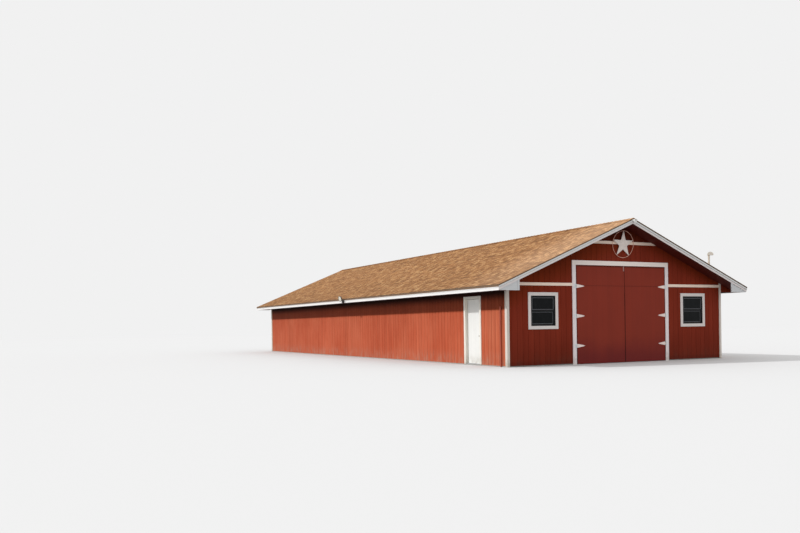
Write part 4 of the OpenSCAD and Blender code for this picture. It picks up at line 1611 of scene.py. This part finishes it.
@dataclass
class Windows(Assembly):
    """Two square sliding windows in the front wall, with white casings."""

    frame_width: float = 0.028
    rail_width: float = 0.030
    meeting_rail: float = 0.060
    rail_lap: float = 0.024
    play: float = 0.002
    sash_setback: float = 0.008
    sash_depth: float = 0.024
    sash_gap: float = 0.001
    bevel: float = 0.0025
    bead: float = 0.012
    bead_setback: float = 0.003
    latch_half: float = 0.03
    latch_heights: Span = (-0.012, 0.010)
    latch_setback: float = 0.002
    sashes: Joinery = field(default_factory=Joinery, init=False)
    beads: Joinery = field(default_factory=Joinery, init=False)

    def build(self) -> None:
        """Dress the casings and the glass, and build the sashes and their beads."""
        self.dress(WINDOW_CASINGS, "window_casings")
        self.dress(PANES, "window_glass")
        low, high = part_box("window_frames")
        half = (high.z - low.z) / 2
        for centre in (high.x - half, low.x + half):
            self.add_window(centre, (low.z + high.z) / 2, half, (low.y, high.y))
        made = self.sashes.finished("window_sashes", WINDOW_FRAMES, self.bevel)
        self.settle(made, Body.BUILDING, "dark_frame", "window_frames")
        self.settle(self.beads.finished("glazing_beads", GLAZING_BEADS), Body.BUILDING, "dark_frame")

    def add_sash(self, outer: Rect, inner: Rect, face: float) -> None:
        """Add one sash, with a bead round its glass.

        Args:
            outer: The sash's outside.
            inner: The outside of its glass.
            face: Where its outer face is along Y.
        """
        self.sashes.ring(outer, inner, face, face + self.sash_depth)
        seat = (face + self.bead_setback, face + self.sash_depth - self.bead_setback)
        self.beads.ring(inner, grown(inner, -self.bead), *seat)

    def add_window(self, x: float, z: float, half: float, faces: Span) -> None:
        """Add the outer frame, both sashes and the latch of one window.

        Args:
            x: Middle of the window across the wall.
            z: Middle of the window's height.
            half: Half its width.
            faces: Where the frame's outer and inner faces are along Y.
        """
        middle = (x, z, x, z)
        opening = half - self.frame_width
        self.sashes.ring(grown(middle, half), grown(middle, opening), *faces)
        side = opening - self.play
        glazed = side - self.rail_width
        upper_face = faces[0] + self.sash_setback
        lower_face = upper_face + self.sash_depth + self.sash_gap
        for up, face in ((1.0, upper_face), (-1.0, lower_face)):
            bottom, top = sorted((z - up * self.rail_lap, z + up * side))
            sash = (x - side, bottom, x + side, top)
            bottom, top = sorted((z + up * (self.meeting_rail - self.rail_lap), z + up * glazed))
            self.add_sash(sash, (x - glazed, bottom, x + glazed, top), face)
        bottom, top = (z + height for height in self.latch_heights)
        near = (x - self.latch_half, lower_face + self.sash_depth, bottom)
        self.sashes.block(near, (x + self.latch_half, faces[1] - self.latch_setback, top))


@dataclass
class GableStar(Assembly):
    """The five-pointed star in its ring on the front gable."""

    rod_radius: float = 0.008

    def build(self) -> None:
        """Dress the star, with its ring's own tone where the ring is."""
        low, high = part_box("barn_star")
        centre = (low + high) / 2
        radius = (high.x - low.x) / 2 - self.rod_radius
        self.dress(StarMetal("star_sheet_metal", centre.x, centre.z, radius), "barn_star")


@dataclass
class Fittings(Assembly):
    """The lamps, the service mast with its meter box, and the pipe on the side wall."""

    lens_place: Triple = (-5.235, -0.38, 2.4215)
    lens_looks: Triple = (-0.9540, -0.1511, -0.2588)
    lens_radius: float = 0.0955
    lens_depth: float = 0.0046
    lens_thickness: float = 0.002
    lens_dome: float = 0.0022

    def build(self) -> None:
        """Dress the fittings and set the lens in the eave lamp."""
        self.dress(MAST_STEEL, "service_mast")
        self.dress(LAMP_ENAMEL, "peak_lamp")
        self.dress(LAMP_BRONZE, "eave_lamp")
        self.dress(RED_PIPE, "wall_conduit")
        looks = Vector(self.lens_looks)
        joinery = Joinery()
        seat = Vector(self.lens_place) - looks * self.lens_depth
        joinery.disc(seat, looks, self.lens_radius, self.lens_thickness, self.lens_dome)
        made = joinery.finished("eave_lamp_lens", LampLens("lamp_lens", self.lens_place))
        self.settle(made, Body.BUILDING, "white_iron")


@dataclass
class Studio:
    """A plain pale floor that fades into the background, a soft sun and an even sky."""

    floor_radius: float = 400.0
    floor_fade: Span = (40.0, 130.0)
    floor_seen: float = 0.64
    floor_bounce: float = 0.30
    background: float = 0.88
    sky: float = 1.0
    sun_strength: float = 2.0
    sun_softness: float = math.radians(1.2)
    sun_travel: Triple = (0.66, -0.30, -0.55)

    def build(self) -> None:
        """Build the floor, the sun and the sky."""
        self.build_floor()
        self.build_sun()
        self.build_sky()
        bpy.context.scene.view_settings.view_transform = "Standard"

    def build_floor(self) -> None:
        """Build the floor; what the camera sees of it is paler than what it throws back."""
        data = bpy.data.meshes.new("studio_floor")
        mesh = bmesh.new()
        bmesh.ops.create_circle(mesh, cap_ends=True, segments=96, radius=self.floor_radius)
        mesh.to_mesh(data)
        mesh.free()
        material = bpy.data.materials.new("studio_floor")
        material.use_nodes = True
        data.materials.append(material)
        floor = placed("studio_floor", data)
        graph = Paint(material)
        seen = graph.node("ShaderNodeLightPath", output="Is Camera Ray")
        colour = graph.mix(seen, (self.floor_bounce,) * 3, (self.floor_seen,) * 3)
        diffuse = graph.node("ShaderNodeBsdfDiffuse", inputs={"Color": colour})
        x, y, _ = graph.axes
        far = (x * x + y * y).rise(*(distance**2 for distance in self.floor_fade))
        glow = graph.node("ShaderNodeEmission", inputs={"Color": (self.background,) * 3, "Strength": 1.0})
        mixed = graph.node("ShaderNodeMixShader", inputs=[far * seen, diffuse, glow])
        graph.feed(material.node_tree.nodes["Material Output"].inputs["Surface"], mixed)

    def build_sun(self) -> None:
        """Build the sun, high on the left behind the barn."""
        light = bpy.data.lights.new("sun", "SUN")
        light.energy = self.sun_strength
        light.angle = self.sun_softness
        sun = placed("sun", light)
        sun.rotation_mode = "QUATERNION"
        sun.rotation_quaternion = Vector(self.sun_travel).to_track_quat("-Z", "Y")

    def build_sky(self) -> None:
        """Build an even sky that looks pale to the camera, to metal and to glass."""
        world = bpy.data.worlds.new("sky")
        world.use_nodes = True
        bpy.context.scene.world = world
        graph = NodeGraph(world.node_tree)
        seen = graph.node("ShaderNodeLightPath", output="Is Camera Ray")
        mirrored = seen.sibling("Is Glossy Ray") + seen.sibling("Is Transmission Ray")
        strength = self.sky + (seen + mirrored).capped() * (self.background - self.sky)
        background = world.node_tree.nodes["Background"]
        graph.feed(background.inputs["Color"], (1.0, 1.0, 1.0))
        graph.feed(background.inputs["Strength"], strength)


@dataclass
class PhotoCamera:
    """The camera of the photograph, found by fitting the barn's corners to the picture."""

    place: Triple = (-17.9685, -30.9035, 1.2612)
    heading: float = 0.46942
    tilt: float = -0.00395
    roll: float = -0.01484
    focal_pixels: float = 804.2573
    centre_row: float = 329.47
    width: int = 800
    height: int = 533
    sensor: float = 36.0
    sees_to: float = 1000.0

    def build(self) -> None:
        """Set up the scene's camera."""
        data = bpy.data.cameras.new("photo_camera")
        data.sensor_width = self.sensor
        data.lens = self.focal_pixels * self.sensor / self.width
        data.shift_y = (self.centre_row - self.height / 2) / self.width
        data.clip_end = self.sees_to
        flat = Vector((math.sin(self.heading), math.cos(self.heading), 0.0))
        ahead = flat * math.cos(self.tilt) + Vector((0.0, 0.0, math.sin(self.tilt)))
        level = Vector((flat.y, -flat.x, 0.0))
        above = level.cross(ahead)
        right = level * math.cos(self.roll) + above * math.sin(self.roll)
        up = above * math.cos(self.roll) - level * math.sin(self.roll)
        turn = Matrix((right, up, -ahead)).transposed().to_4x4()
        camera = placed("photo_camera", data)
        camera.matrix_world = Matrix.Translation(self.place) @ turn
        bpy.context.scene.camera = camera


def main() -> None:
    """Build the barn's parts in order and report each piece."""
    logging.basicConfig(level=logging.INFO, format="%(name)s: %(message)s")
    for kind in (Shell, Roof, Trim, BarnDoors, WalkDoor, Windows, GableStar, Fittings):
        part = kind()
        part.build()
        for piece in part.pieces:
            log.info("%s: %s", kind.__name__, piece)
    Studio().build()
    PhotoCamera().build()


if __name__ == "__main__":
    main()
